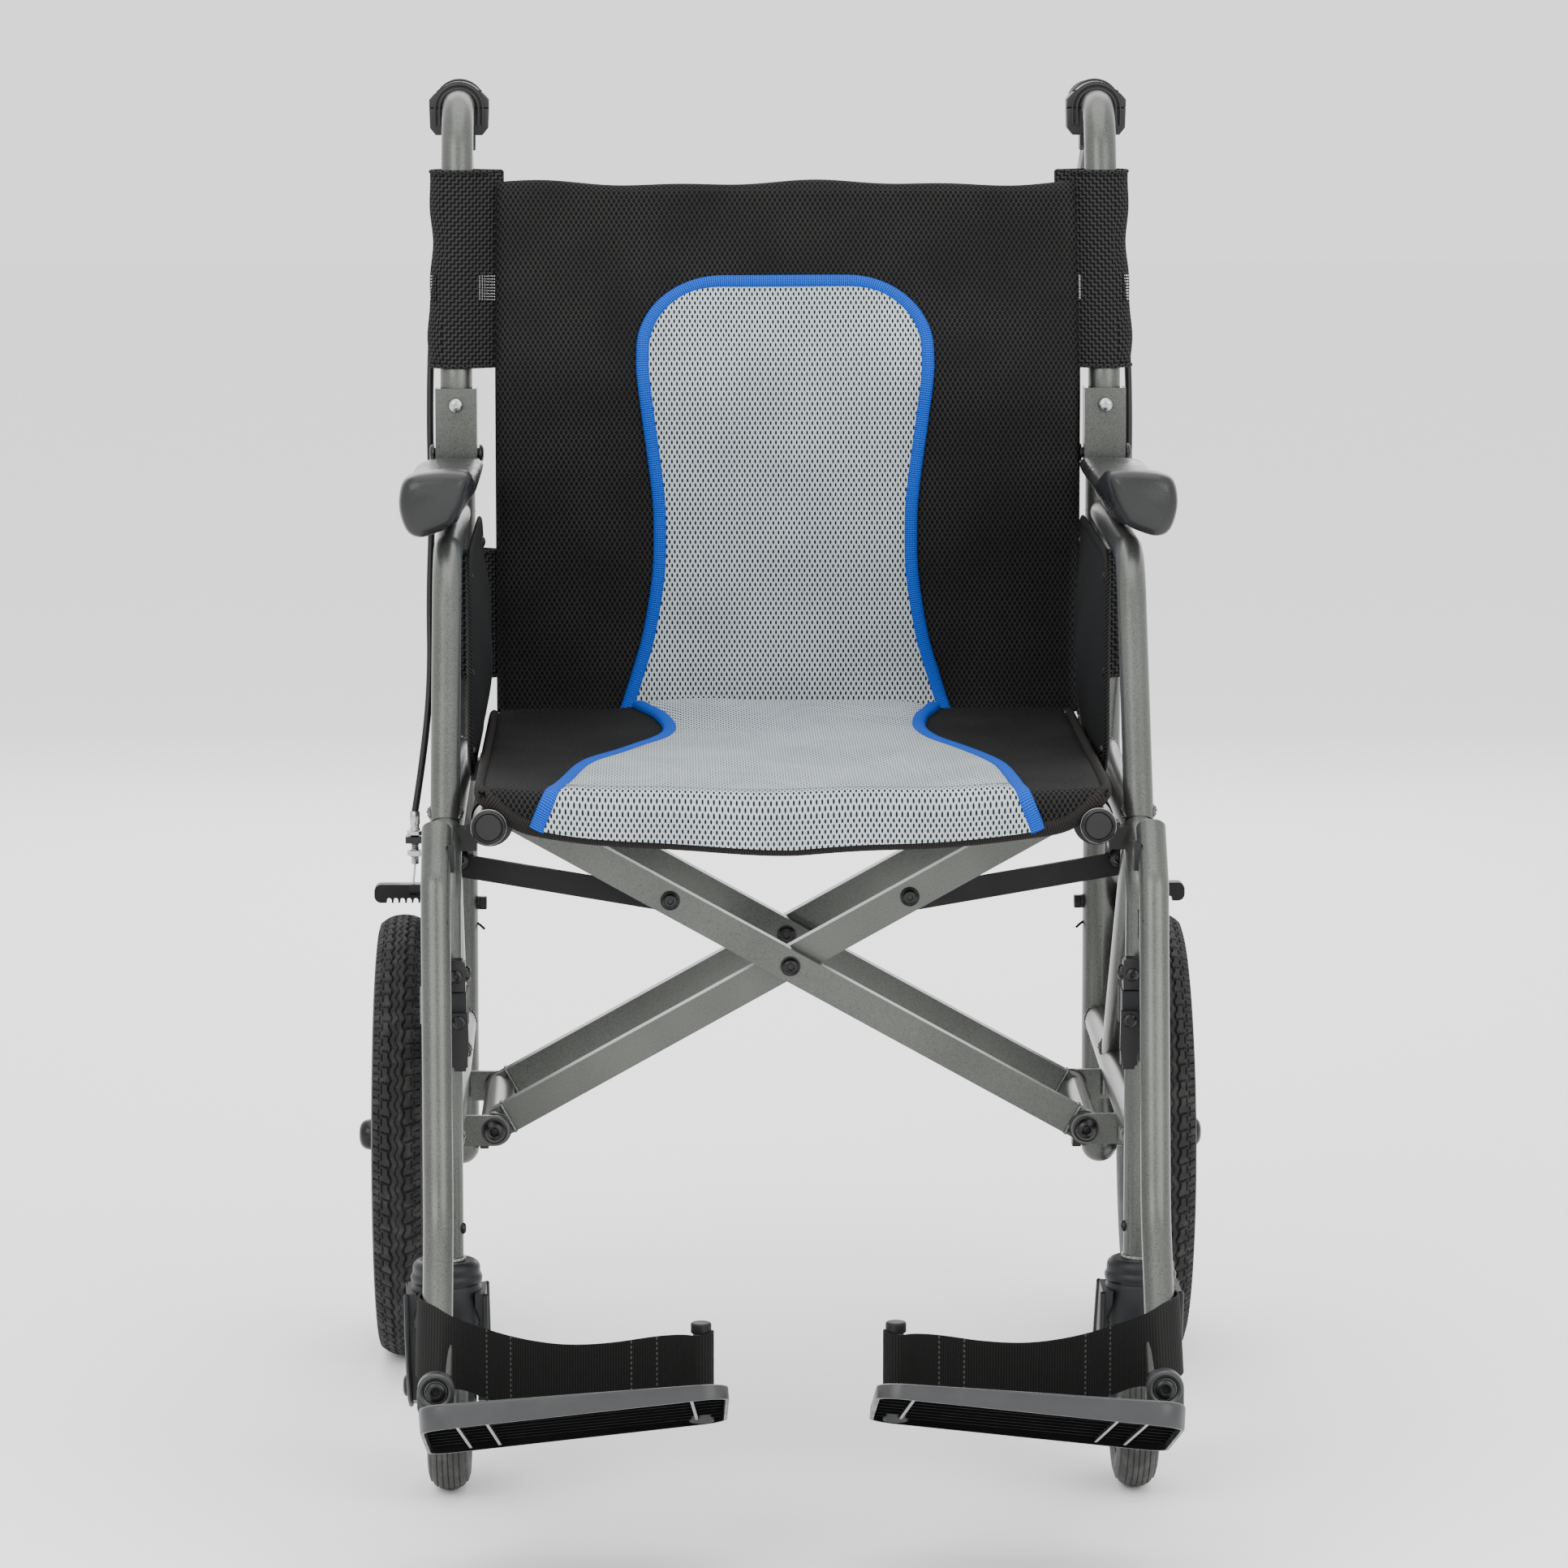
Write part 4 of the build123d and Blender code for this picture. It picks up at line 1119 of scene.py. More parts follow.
def sleeves():
    for name, low, high, centre_y, reach, window, body in [
        ("cane_sleeve", 697, 829, cane_y, 18.5, WINDOW, "back"),
        ("post_strap", 481, 568, lambda z: 0.0, 15.0, None, "side"),
    ]:
        _, girth = sleeve(low, high, centre_y, reach, window)

        def make():
            bm, _ = sleeve(low, high, centre_y, reach, window)
            for level in (low, high):
                strand(bm, sleeve_border(level, centre_y, reach), 1.5, 8, closed=True, length_uv=True)
            return bm

        made = paired(name, make, SLEEVE, body, 60)


# ---- armrests and skirt guards ----
PAD_REAR_SECTION = [
    (-10, -13), (-15, -5), (-20.5, 3), (-24, 9), (-24.5, 13), (-21, 15.8), (-10, 16.6), (4, 16.3),
    (15, 15), (20.5, 11.5), (23, 6), (22.3, 0), (20, -6), (17, -11.5), (13, -14.2), (2, -13.8),
]
PAD_FRONT_SECTION = [
    (-9, -7), (-14, 0), (-18, 8), (-21, 17), (-22.4, 24), (-20.5, 28.5), (-10, 30), (4, 29.2),
    (14, 27.5), (20.5, 23.5), (23.4, 15), (23.6, 4), (20.5, -7), (16, -12.5), (9, -14), (-1, -11),
]


def arm_pad():
    """Wide on top and narrow round the tube, with a deep, drooping front end."""
    shrink = [(-298, 0.66), (-296, 0.86), (-293, 0.94), (-288, 0.985), (-280, 1.0)]
    shrink += [(-42, 1.0), (-33, 0.93), (-30, 0.8)]
    count = 96
    rows = []
    for y in spread(-30, -298, 90):
        size = curved(y, shrink)
        front = min(1.0, max(0.0, (-190 - y) / 90))
        front *= front * (3 - 2 * front)
        middle = 6 * front
        row = []
        for step in range(count):
            place = step / count * len(PAD_REAR_SECTION)
            points = []
            for section in (PAD_REAR_SECTION, PAD_FRONT_SECTION):
                points.append([looped(place, section, axis) for axis in (0, 1)])
            at_x = points[0][0] + (points[1][0] - points[0][0]) * front
            at_z = points[0][1] + (points[1][1] - points[0][1]) * front
            row.append((230.3 + at_x * size, y, 619.5 + middle + (at_z - middle) * size))
        rows.append(row)
    bm = bmesh.new()
    verts = skin(bm, rows, closed=True)
    bm.faces.new(verts[0])
    bm.faces.new(verts[-1][::-1])
    return bm


GUARD_REAR, GUARD_FRONT = -25.0, -283.0
GUARD_LOW, GUARD_HIGH = 447.0, 592.0


def guard_point(u, v, off=0.0):
    """u runs from the rear edge to the front one, and v from bottom to top."""
    z = GUARD_LOW + (GUARD_HIGH - GUARD_LOW) * v
    cut = 26 * max(0.0, 1 - v / 0.17) ** 2 + 18 * max(0.0, (v - 0.87) / 0.13) ** 2
    y = GUARD_REAR + (GUARD_FRONT - GUARD_REAR + cut) * u
    belly = sin(pi * min(1, max(0, v))) ** 0.8 * sin(pi * min(1, u + 0.03)) ** 0.7
    ripple = 0.8 * sin(z / 11 + y / 23) * sin(pi * u) * sin(pi * v)
    return 209.5 - 10.5 * belly - ripple - off, y, z


def skirt_guard():
    """A bellied fabric panel with a bound border."""
    bm = bmesh.new()
    thick = 1.6
    across, up = spread(0, 1, 48), spread(0, 1, 34)
    for off in (0.0, thick):
        rows = [[guard_point(u, v, off) for u in across] for v in up]
        skin(bm, rows, uvs=lambda a, b: (across[b] * 258, up[min(a, 33)] * 145))
    border = [(u, 0) for u in across] + [(1, v) for v in up[1:]]
    border += [(u, 1) for u in reversed(across[:-1])] + [(0, v) for v in reversed(up[1:-1])]
    edge = smoothed([guard_point(u, v, thick / 2) for u, v in border], 2)
    strand(bm, edge, 3.6, 10, closed=True, flat=0.55, up=(1, 0, 0), length_uv=True)
    return bm


def guard_rivets():
    """Domed rivets along the skirt guard's front and rear edges."""
    bm = bmesh.new()
    for u, v in ((0.965, 0.9), (0.972, 0.47), (0.03, 0.9), (0.03, 0.47), (0.03, 0.08), (0.94, 0.1)):
        x, y, z = guard_point(u, v, 1.6)
        turned(bm, [(3.6, -1), (3.6, 0.3), (3.0, 1.3), (1.6, 1.9), (0, 2.1)], (x, y, z), (-1, 0, 0), 20)
    return bm


def armrests():
    pads = paired("arm_cushion", arm_pad, PAD_PLASTIC, "side", 60)
    stand_for(pads, "arm_pad")
    guards = paired("skirt_panel", skirt_guard, TWILL, "side", 60)
    stand_for(guards, "skirt_guard")
    paired("skirt_rivets", guard_rivets, GLOSS_BLACK, "side")


# ---- wheels ----
TREAD_HALF = 16.2


def tread_groove(u, v):
    """Depth of the tyre's tread pattern at u round the tyre and v across it."""
    pitch = tau * WHEEL_R / 84
    wave = 0.9 * sin(tau * u / pitch)

    def cut(distance, half_width, depth):
        share = abs(distance) / half_width
        return depth * max(0.0, 1 - share**3) if share < 1 else 0.0

    depth = max(cut(v - 4.6 - wave, 0.85, 2.0), cut(v + 4.6 - wave, 0.85, 2.0))
    depth = max(depth, cut(v - wave * 1.2, 0.5, 1.1))
    side = 1 if v > 0 else -1
    width = abs(v)
    phase = (u / pitch + (0.5 if side > 0 else 0)) % 1
    zigzag = 11.0 + 0.9 * (1 if phase < 0.5 else -1)
    depth = max(depth, cut(width - zigzag, 0.65, 1.5))
    if 5.2 < width < 15.8:
        slant = phase - 0.03 * (width - 5)
        away = (slant + 0.5) % 1 - 0.5
        depth = max(depth, cut(away * pitch, 0.75, 1.9))
    if 11.5 < width < 15.8:
        away = (phase - 0.03 * (width - 5) + 1.0) % 1 - 0.5
        depth = max(depth, cut(away * pitch, 0.6, 1.4))
    return depth


def rear_tyre():
    """A tyre whose tread pattern is cut into the mesh; its two sides show the sidewall rubber."""
    steps = 1176
    profile = [(-13, 118), (-16.6, 124), (-18, 131), (-18, 138), (-17.3, 145)]
    tread = spread(-TREAD_HALF, TREAD_HALF, 58)
    rows = []
    for step in range(steps):
        angle = tau * step / steps
        u = angle * WHEEL_R
        row = []
        section = [(x, r, 0) for x, r in profile]
        for v in tread:
            crown = WHEEL_R - 6.2 * (abs(v) / TREAD_HALF) ** 2.4
            section.append((v, crown, tread_groove(u, v)))
        section += [(-x, r, 0) for x, r in reversed(profile)]
        for across, radius, depth in section:
            reach = radius - depth
            row.append((WHEEL_X + across, reach * sin(angle), WHEEL_R + reach * cos(angle)))
        rows.append(row)
    bm = bmesh.new()
    skin(bm, rows, loop=True)
    edge = len(profile)
    width = len(rows[0]) - 1
    for index, face in enumerate(bm.faces):
        column = index % width
        face.material_index = 0 if edge - 1 <= column <= width - edge else 1
    return bm


def rear_rim():
    """Six-spoke moulded rim: a lipped ring, a drum hub and tapered spokes with stiffening ribs."""
    bm = bmesh.new()
    ring = [(117.6, -13), (119.5, -14.5), (121, -14), (121, -12), (118, -11), (118, 11), (121, 12), (121, 14)]
    ring += [(119.5, 14.5), (117.6, 13), (110, 10.5), (106.5, 7), (106, 0), (106.5, -7), (110, -10.5)]
    turned_ring(bm, ring, (WHEEL_X, 0, WHEEL_R), 120)
    hub = [(6.1, -17.5), (19, -17.5), (22, -15), (22, -8), (25, -6), (25, 6), (22, 8), (22, 15), (19, 17.5)]
    turned_ring(bm, hub + [(6.1, 17.5)], (WHEEL_X, 0, WHEEL_R), 48)
    for spoke in range(6):
        angle = tau * spoke / 6
        rows = []
        for r in spread(20, 109, 14):
            half = 9.5 - 3.2 * sin(pi * (r - 20) / 89) + 3 * max(0, (r - 98) / 11) ** 2
            thick = 6.5 - 2.0 * (r - 20) / 89
            section = [(-half, -thick + 2), (-half + 1.5, -thick), (-1.8, -thick + 0.6), (-1.4, -thick - 1.8)]
            section += [(1.4, -thick - 1.8), (1.8, -thick + 0.6), (half - 1.5, -thick), (half, -thick + 2)]
            section += [(a, -b) for a, b in reversed(section)]
            row = []
            for across, along in section:
                y = r * sin(angle) + across * cos(angle)
                z = r * cos(angle) - across * sin(angle)
                row.append((WHEEL_X - along, y, WHEEL_R + z))
            rows.append(row)
        skin(bm, rows, closed=True)
    return bm


def caster_wheel():
    """Rubber tread with fine circumferential grooves on a dished centre."""
    bm = bmesh.new()
    middle = (FRONT_X, CASTER_Y, CASTER_R)
    outline = [(50, -13.2), (57, -13.4), (61.5, -12)]
    for v in spread(-10.5, 10.5, 57):
        crown = CASTER_R - 6.2 * (abs(v) / 12.5) ** 2.6
        groove = 0.9 * max(0.0, 1 - abs(((v + 1.75) % 3.5) - 1.75) / 0.5)
        outline.append((crown - groove, v))
    outline += [(61.5, 12), (57, 13.4), (50, 13.2), (47.5, 11), (47.5, -11)]
    turned_ring(bm, outline, middle, 160)
    centre = [(4.1, -17.2), (10.5, -17.2), (12, -15.8), (12, -12), (15, -9), (42, -7.5), (47.8, -10.5)]
    centre += [(47.8, 10.5), (42, 7.5), (15, 9), (12, 12), (12, 15.8), (10.5, 17.2), (4.1, 17.2)]
    turned_ring(bm, centre, middle, 72, material=1)
    return bm


def caster_trim():
    """Stepped band, bolt heads and edge ribs of the caster's fork."""
    bm = bmesh.new()
    band = [(21.2, 120), (22.3, 121), (22.3, 143), (21.4, 145.5), (22.6, 147), (22.9, 150), (22.0, 152)]
    band += [(20.6, 153.5), (20.4, 156), (18.8, 158.6), (15, 160.4), (11.5, 160.4), (11.5, 150)]
    turned_ring(bm, band, (FRONT_X, FRONT_Y, 0), 72, axis=(0, 0, 1))
    boss = [(0, -1), (11, -1), (11, 1.2), (9.5, 2.2), (0, 2.2)]
    rib = [(-468, 141), (-462, 112), (-440, 84), (-413, 56), (-400, 52), (-388, 58), (-385, 72)]
    rib += [(-402, 108), (-430, 141)]
    for sign in (-1, 1):
        x = FRONT_X + sign * 25
        turned(bm, boss, (x, CASTER_Y, CASTER_R), (sign, 0, 0), 40)
        strand(bm, smoothed([(x, y, z) for y, z in rib], 1), 1.7, 8)
    return bm


def caster_bolts():
    bm = bmesh.new()
    for sign in (-1, 1):
        button_head(bm, (FRONT_X + sign * 27, CASTER_Y, CASTER_R), (sign, 0, 0), 7.2, 3.2)
    return bm


def wheels():
    tyres = paired("tyre_tread", rear_tyre, [TYRE, SIDEWALL], "rear_wheel", 50)
    stand_for(tyres, "rear_tyre")
    rims = paired("spoked_rim", rear_rim, RIM, "rear_wheel")
    stand_for(rims, "rear_rim")
    casters = paired("caster_tread", caster_wheel, [CASTER_RUBBER, RIM], "caster_wheel")
    stand_for(casters, "caster_wheel")
    paired("caster_trim", caster_trim, FORK, "caster_fork")
    paired("caster_bolt_heads", caster_bolts, BLACK_STEEL, "caster_fork")


# ---- fixings ----
def side_fixings():
    """Axle, nuts and bolts of one side frame."""
    bm = bmesh.new()
    out, ahead, back = (1, 0, 0), (0, -1, 0), (0, 1, 0)

    axle = (0, 0, WHEEL_R)
    turned(bm, rounded(6, 206, 283, 0.5), axle, out, 24)
    turned(bm, rounded(10, 237.8, 246.6, 0.8), axle, out, 32)
    hexagon(bm, axle, out, 205.5, 212, 19)
    cap = [(10.9, 282.5), (11, 289.6), (10.4, 292.2), (9.2, 294.3), (7.2, 295.9), (4.4, 296.8), (0, 297)]
    turned(bm, cap, axle, out, 48, material=1)

    brake = (0, 0, BRAKE_PIVOT_Z)
    turned(bm, rounded(4, 207, 246, 0.3), brake, out, 20)
    hexagon(bm, brake, out, 206, 211.2, 9)
    turned(bm, rounded(5, 211, 212.2, 0.4), brake, out, 32)
    hexagon(bm, brake, out, 245.2, 249, 11)

    pivot = (RAIL_X, 0, PIVOT_Z)
    turned(bm, rounded(5, -352, -180, 0.3), pivot, back, 20)
    turned(bm, rounded(8.4, 349, 350.3, 0.4), pivot, ahead, 32)
    button_head(bm, (RAIL_X, -350.3, PIVOT_Z), ahead, 7.2, 4.8)
    turned(bm, rounded(9, -184, -182.8, 0.4), pivot, back, 32)
    hexagon(bm, pivot, back, -182.8, -176.5, 13)
    for y in (-344.3, -190.2):
        turned(bm, rounded(10.9, y - 0.6, y + 1.6, 0.5), pivot, back, 40)

    link_x, link_z = LINK_PIN
    turned(bm, rounded(4, -316, -302, 0.3), (link_x, 0, link_z), back, 20)
    button_head(bm, (link_x, -315.2, link_z), ahead, 6.8, 3.6)
    hexagon(bm, (link_x, 0, link_z), back, -306.7, -302, 12)

    turned(bm, rounded(4, 208, 242, 0.5), (0, 0, HINGE_Z), out, 20)
    for x, direction in ((241.2, 1), (208.8, -1)):
        button_head(bm, (x, 0, HINGE_Z), (direction, 0, 0), 6.4, 2.6)
    return bm


def return_spring():
    """The hooked end of the brake shoe's spring, on the inner side of the rear post."""
    bm = bmesh.new()
    strand(bm, smoothed([(212.8, -2, 306), (209.5, -2, 304), (207.6, -2, 301.5)]), 0.9, 8)
    return bm


def brace_fixings():
    """Front and rear centre bolts, with their washers and nuts."""
    bm = bmesh.new()
    centre, back = (0, 0, CROSS_Z), (0, 1, 0)
    for a_front, b_front, head_height in zip(BARS_A, BARS_B, (3.0, 1.0)):
        turned(bm, rounded(4, a_front - 1, b_front + 13, 0.3), centre, back, 20)
        turned(bm, rounded(6.4, a_front - 1.5, a_front - 0.1, 0.4), centre, back, 32)
        button_head(bm, (0, a_front - 1.5, CROSS_Z), (0, -1, 0), 5.7, head_height)
        turned(bm, rounded(9, a_front + BAR_T + 0.2, b_front - 0.2, 0.3), centre, back, 32)
        hexagon(bm, centre, back, b_front + BAR_T + 0.1, b_front + BAR_T + 5, 12)
    return bm


def link_cap(sign):
    """Domed head in front of a brace, where a link is bolted on."""
    bm = bmesh.new()
    x, z = sign * LINK_BOLT_X, CROSS_Z + (RAIL_Z - PIVOT_Z) / (2 * RAIL_X) * LINK_BOLT_X
    front = BARS_A[0] if sign < 0 else BARS_B[0]
    turned(bm, rounded(6.3, -front + 0.05, -front + 1.4, 0.4), (x, 0, z), (0, -1, 0), 32)
    turned(bm, rounded(5.8, -front + 1.0, -front + 3.3, 0.9), (x, 0, z), (0, -1, 0), 32)
    button_head(bm, (x, front - 3.0, z), (0, -1, 0), 5.0, 1.4)
    return bm


def rail_cap():
    """Domed plastic plug in the front end of a seat rail, with a pale rim."""
    bm = bmesh.new()
    rail = (RAIL_X, 0, RAIL_Z)
    dome = [(11.1, 449.5), (11.1, 450.6), (10.4, 452.2), (9.2, 452.9), (8.6, 452.5), (7.8, 453.4), (0, 454.3)]
    turned(bm, dome, rail, (0, -1, 0), 48)
    band = [(11.2, 449.6), (11.4, 449.8), (11.4, 450.4), (11.2, 450.6)]
    turned_ring(bm, band, rail, 48, axis=(0, -1, 0), material=1)
    return bm


def weld(bm, origin, axis, radius, size=1.9):
    """A rippled bead round a joint."""
    across, up, _ = frame_of(axis)
    points = []
    for step in range(96):
        angle = tau * step / 96
        reach = radius + 0.35 * sin(step * 1.9) + 0.2 * sin(step * 0.7)
        points.append(Vector(origin) + across * reach * cos(angle) + up * reach * sin(angle))
    strand(bm, points, lambda share: size * (0.85 + 0.18 * sin(share * 190)), 8, closed=True, up=axis)


def side_welds():
    """Beads where one side frame's tubes and lugs meet."""
    bm = bmesh.new()
    back, strut = (0, 1, 0), (0, 0.77, -0.63)
    for origin, axis, radius in [
        ((221.3, -401, 440.5), (0, -0.55, 0.83), 9.9),
        ((223.3, -2, 595.5), back, 9.2),
        ((POST_X, -11.5, 428), back, 10.6),
        ((POST_X, -11.5, 237), back, 10.6),
        ((221.2, -439, 237), back, 10.6),
        ((222.1, -376, 416), strut, 9.6),
        ((223.3, -174, 246), strut, 9.6),
    ]:
        weld(bm, origin, axis, radius)
    for front in (-349, -188):
        rim = [(214.5, front + y, z) for y, z in ((-0.6, 231), (-0.8, 224), (-0.6, 217))]
        strand(bm, smoothed(rim, 1), 1.6, 8)
    return bm


def brace_welds(sign):
    """Beads where the bars meet the pivot tube and the seat rail."""
    bm = bmesh.new()
    along = Vector((sign * cos(BRACE_SLOPE), 0, sin(BRACE_SLOPE)))
    across = Vector((-sign * sin(BRACE_SLOPE), 0, cos(BRACE_SLOPE)))
    half_height, half_depth = 9.5, BAR_T / 2
    corners = [(-half_height, -half_depth), (half_height, -half_depth)]
    corners += [(half_height, half_depth), (-half_height, half_depth)]
    for front in BARS_A if sign < 0 else BARS_B:
        for x, z, reach in ((-sign * RAIL_X, PIVOT_Z, 9.6), (sign * RAIL_X, RAIL_Z, -10.7)):
            middle = Vector((x, front + half_depth, z)) + along * reach
            points = []
            for first, second in zip(corners, corners[1:] + corners[:1]):
                for share in spread(0, 1, 12)[:-1]:
                    a = first[0] + (second[0] - first[0]) * share
                    b = first[1] + (second[1] - first[1]) * share
                    points.append(middle + across * a + Vector((0, b, 0)))
            strand(bm, points, lambda share: 1.7 * (0.85 + 0.18 * sin(share * 120)), 8, closed=True, up=along)
    return bm


def hinge_screw():
    """Screw on the front of the back hinge's channel."""
    bm = bmesh.new()
    head = [(5.0, -0.6), (5.0, 0.3), (4.5, 1.6), (3.0, 2.5), (1.6, 2.7), (1.5, 1.4), (0, 1.3)]
    turned(bm, head, (POST_X, -16.4, 670.5), (0, -1, 0), 28)
    return bm


def post_ring():
    """Zinc ring between the front post and the caster."""
    bm = bmesh.new()
    ring = [(11.3, 160.6), (12.4, 160.9), (12.4, 162.6), (11.3, 163)]
    turned_ring(bm, ring, (FRONT_X, FRONT_Y, 0), 48, axis=(0, 0, 1))
    return bm


def post_screw():
    """Small screw on the front post, above the caster."""
    bm = bmesh.new()
    button_head(bm, (210.2, -452, 181), (-1, 0, 0), 3.6, 2.0)
    return bm


def fixings():
    bolts = paired("side_fixings", side_fixings, [BLACK_STEEL, GLOSS_BLACK], "side")
    stand_for(bolts, "side_bolts")
    centre = piece("brace_fixings", brace_fixings(), BLACK_STEEL, "brace_b")
    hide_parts("brace_bolts")
    for side, sign, body in BRACE_SIDES:
        piece(f"{side}_link_cap", link_cap(sign), BLACK_STEEL, body)
        bm = rail_cap()
        mirrored(bm, sign)
        piece(f"{side}_rail_cap", bm, [BLACK_PLASTIC, ZINC], body)
        piece(f"{side}_brace_welds", brace_welds(sign), FRAME, body)
    paired("side_welds", side_welds, FRAME, "side")
    paired("hinge_screw", hinge_screw, ZINC, "back")
    paired("return_spring", return_spring, BLACK_STEEL, "side")
    paired("post_ring", post_ring, ZINC, "side")
    paired("post_screw", post_screw, BLACK_STEEL, "side")


# ---- handles and brakes ----
def brake_housing():
    """Clamp in two halves round the cane, with arched ribs on its front and ears for the lever."""
    bm = bmesh.new()
    x, z = POST_X, GRIP_Z - 2
    half, dome, ahead = 21, 18.6, (0, 1, 0)
    upper = [(x + half, z + 0.2), (x + half, z + 6), (x + 17.5, z + 10)]
    upper += [(x + dome * cos(a), z + dome * sin(a)) for a in spread(radians(38), radians(142), 15)]
    upper += [(x - 17.5, z + 10), (x - half, z + 6), (x - half, z + 0.2)]
    extruded(bm, upper, 99, 118, bevel=1.2)
    lower = [(x - half, z - 0.2), (x - 20.5, z - 14), (x - 16.5, z - 19)]
    lower += [(x + 16.5, z - 19), (x + 20.5, z - 14), (x + half, z - 0.2)]
    extruded(bm, lower, 98.6, 118.4, bevel=1.4)
    for radius, size in ((13.4, 1.5), (16.6, 1.1)):
        arch = [(x + radius * cos(a), 98.9, z + radius * sin(a)) for a in spread(0, pi, 33)]
        strand(bm, arch, size, 8, up=ahead)
        for side in (x - radius, x + radius):
            strand(bm, [(side, 98.6, z), (side, 98.6, z - 12)], size, 8, up=ahead)
    ear = [(100, 858), (100, 845), (104, 841.5), (114, 841.5), (117, 845), (117, 858)]
    for inner in (213.6, 221.4):
        extruded(bm, ear, inner, inner + 2.9, axis="x", bevel=0.7)
    return bm


def grip():
    """Rubber grip with a flange, ring grooves and a domed end."""
    bm = bmesh.new()
    outline = [(11.3, 119), (17.5, 119), (18.2, 120.5), (17.5, 122.5), (15.2, 124)]
    for step in range(18):
        start = 127 + step * 3.4
        outline += [(15.3, start), (15.3, start + 1.9), (14.6, start + 2.3), (14.6, start + 3.0)]
    outline += [(15.2, 189), (14.6, 192.5), (12, 194.6), (6, 195), (0, 195)]
    turned(bm, outline, (POST_X, 0, GRIP_Z), (0, 1, 0), 56)
    return bm


CABLE_ROUTE = [
    (231, 106, 852),
    (235, 94, 806),
    (241, 66, 756),
    (244, 38, 706),
    (244.5, 24, 650),
    (243, 19, 592),
    (245, 8, 536),
    (244, -4, 482),
    (248, -20, 432),
    (*CABLE_END, 388),
]


def cables():
    """The brake cables' jackets, bent between the side frame and the folding back."""
    for side, sign in SIDES:
        curve = bpy.data.curves.new("route", "CURVE")
        curve.dimensions = "3D"
        curve.bevel_depth = 2.5 / MM
        curve.bevel_resolution = 4
        curve.resolution_u = 10
        curve.use_fill_caps = True
        spline = curve.splines.new("NURBS")
        spline.points.add(len(CABLE_ROUTE) - 1)
        for point, (x, y, z) in zip(spline.points, CABLE_ROUTE):
            point.co = (*at(sign * x, y, z), 1)
        spline.order_u = 3
        spline.use_endpoint_u = True
        holder = bpy.data.objects.new("route", curve)
        mesh = bpy.data.meshes.new_from_object(holder)
        bpy.data.objects.remove(holder)
        mesh.materials.clear()
        mesh.materials.append(JACKET)
        for face in mesh.polygons:
            face.use_smooth = True
        cable = bpy.data.objects.new(f"{side}_cable_jacket", mesh)
        bpy.context.scene.collection.objects.link(cable)
        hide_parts(f"{side}_brake_cable")
        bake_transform(cable)


def cable_boot():
    """Tapered rubber boot where the cable leaves the lever."""
    bm = bmesh.new()
    line = [(231, 106, 852), (231.9, 103.3, 841.6), (232.8, 100.6, 831)]
    strand(bm, line, lambda share: 4.6 - 1.6 * share, 14)
    return bm


def cable_end():
    """Zinc ferrule, threaded barrel and nuts that end the cable's jacket."""
    bm = bmesh.new()
    foot, up = (*CABLE_END, 0), (0, 0, 1)
    ferrule = [(0, 389), (2.9, 389), (3.5, 388.2), (3.5, 380), (3.1, 379.5), (3.1, 377.5)]
    ferrule += [(3.6, 377), (3.6, 373), (0, 373)]
    turned(bm, ferrule, foot, up, 28)
    thread = [(0, 352)]
    for turn in range(16):
        thread += [(2.4, 352 + turn * 1.3), (2.9, 352.65 + turn * 1.3)]
    turned(bm, thread + [(2.4, 372.8), (0, 372.8)], foot, up, 20)
    hexagon(bm, foot, up, 357.5, 362, 9.5)
    hexagon(bm, foot, up, 372.2, 375.6, 9.5)
    return bm


def cable_bracket():
    """Black angle bracket that carries the cable's end."""
    bm = bmesh.new()
    outline = [(231.5, 424), (231.5, 367), (261.5, 367), (261.5, 371.6)]
    outline += [(236, 371.6), (234.6, 373), (234.6, 424)]
    extruded(bm, outline, -35, -21, bevel=0.5)
    hexagon(bm, (0, -28, 410), (1, 0, 0), 234.4, 238.6, 10)
    return bm


def bare_wire():
    """The brake wire between its barrel and the shoe."""
    bm = bmesh.new()
    line = [(*CABLE_END, 353), (255.4, -28.6, 346), (256.4, -30.2, 340), (256.8, -31, 334)]
    strand(bm, smoothed(line, 1), 0.8, 8)
    return bm


def handles():
    housings = paired("brake_clamp", brake_housing, HOUSING, "back")
    stand_for(housings, "brake_housing")
    grips = paired("rubber_grip", grip, GRIP_RUBBER, "back")
    stand_for(grips, "grip")
    cables()
    paired("cable_boot", cable_boot, GRIP_RUBBER, "back")
    ends = paired("cable_ferrule", cable_end, ZINC, "side")
    stand_for(ends, "cable_stop")
    paired("cable_bracket", cable_bracket, BLACK_STEEL, "side")
    wires = paired("brake_wire", bare_wire, ZINC, None)
    for side, wire in wires.items():
        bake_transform(wire)


# ---- footrests ----
PLATE_WIDTH, PLATE_DEPTH, PLATE_RIM = 186.0, 153.0, 16.0
PLATE_TILT, PLATE_CANT = radians(19), radians(4)
PLATE_CORNER = (230.0, -719.0, 129.0)  # its outer front corner


def on_plate(x, y, z):
    """From the footplate's own axes, with the origin at its outer front corner, to the chair's.

    The rim and the ribs grow shallower toward the plate's inner end.
    """
    z *= 1 + (0.44 * x / PLATE_WIDTH if z < -1 else 0)
    across = x * cos(PLATE_CANT) + z * sin(PLATE_CANT)
    rise = -x * sin(PLATE_CANT) + z * cos(PLATE_CANT)
    back = y * cos(PLATE_TILT) + rise * sin(PLATE_TILT)
    rise = -y * sin(PLATE_TILT) + rise * cos(PLATE_TILT)
    return PLATE_CORNER[0] + across, PLATE_CORNER[1] + back, PLATE_CORNER[2] + rise


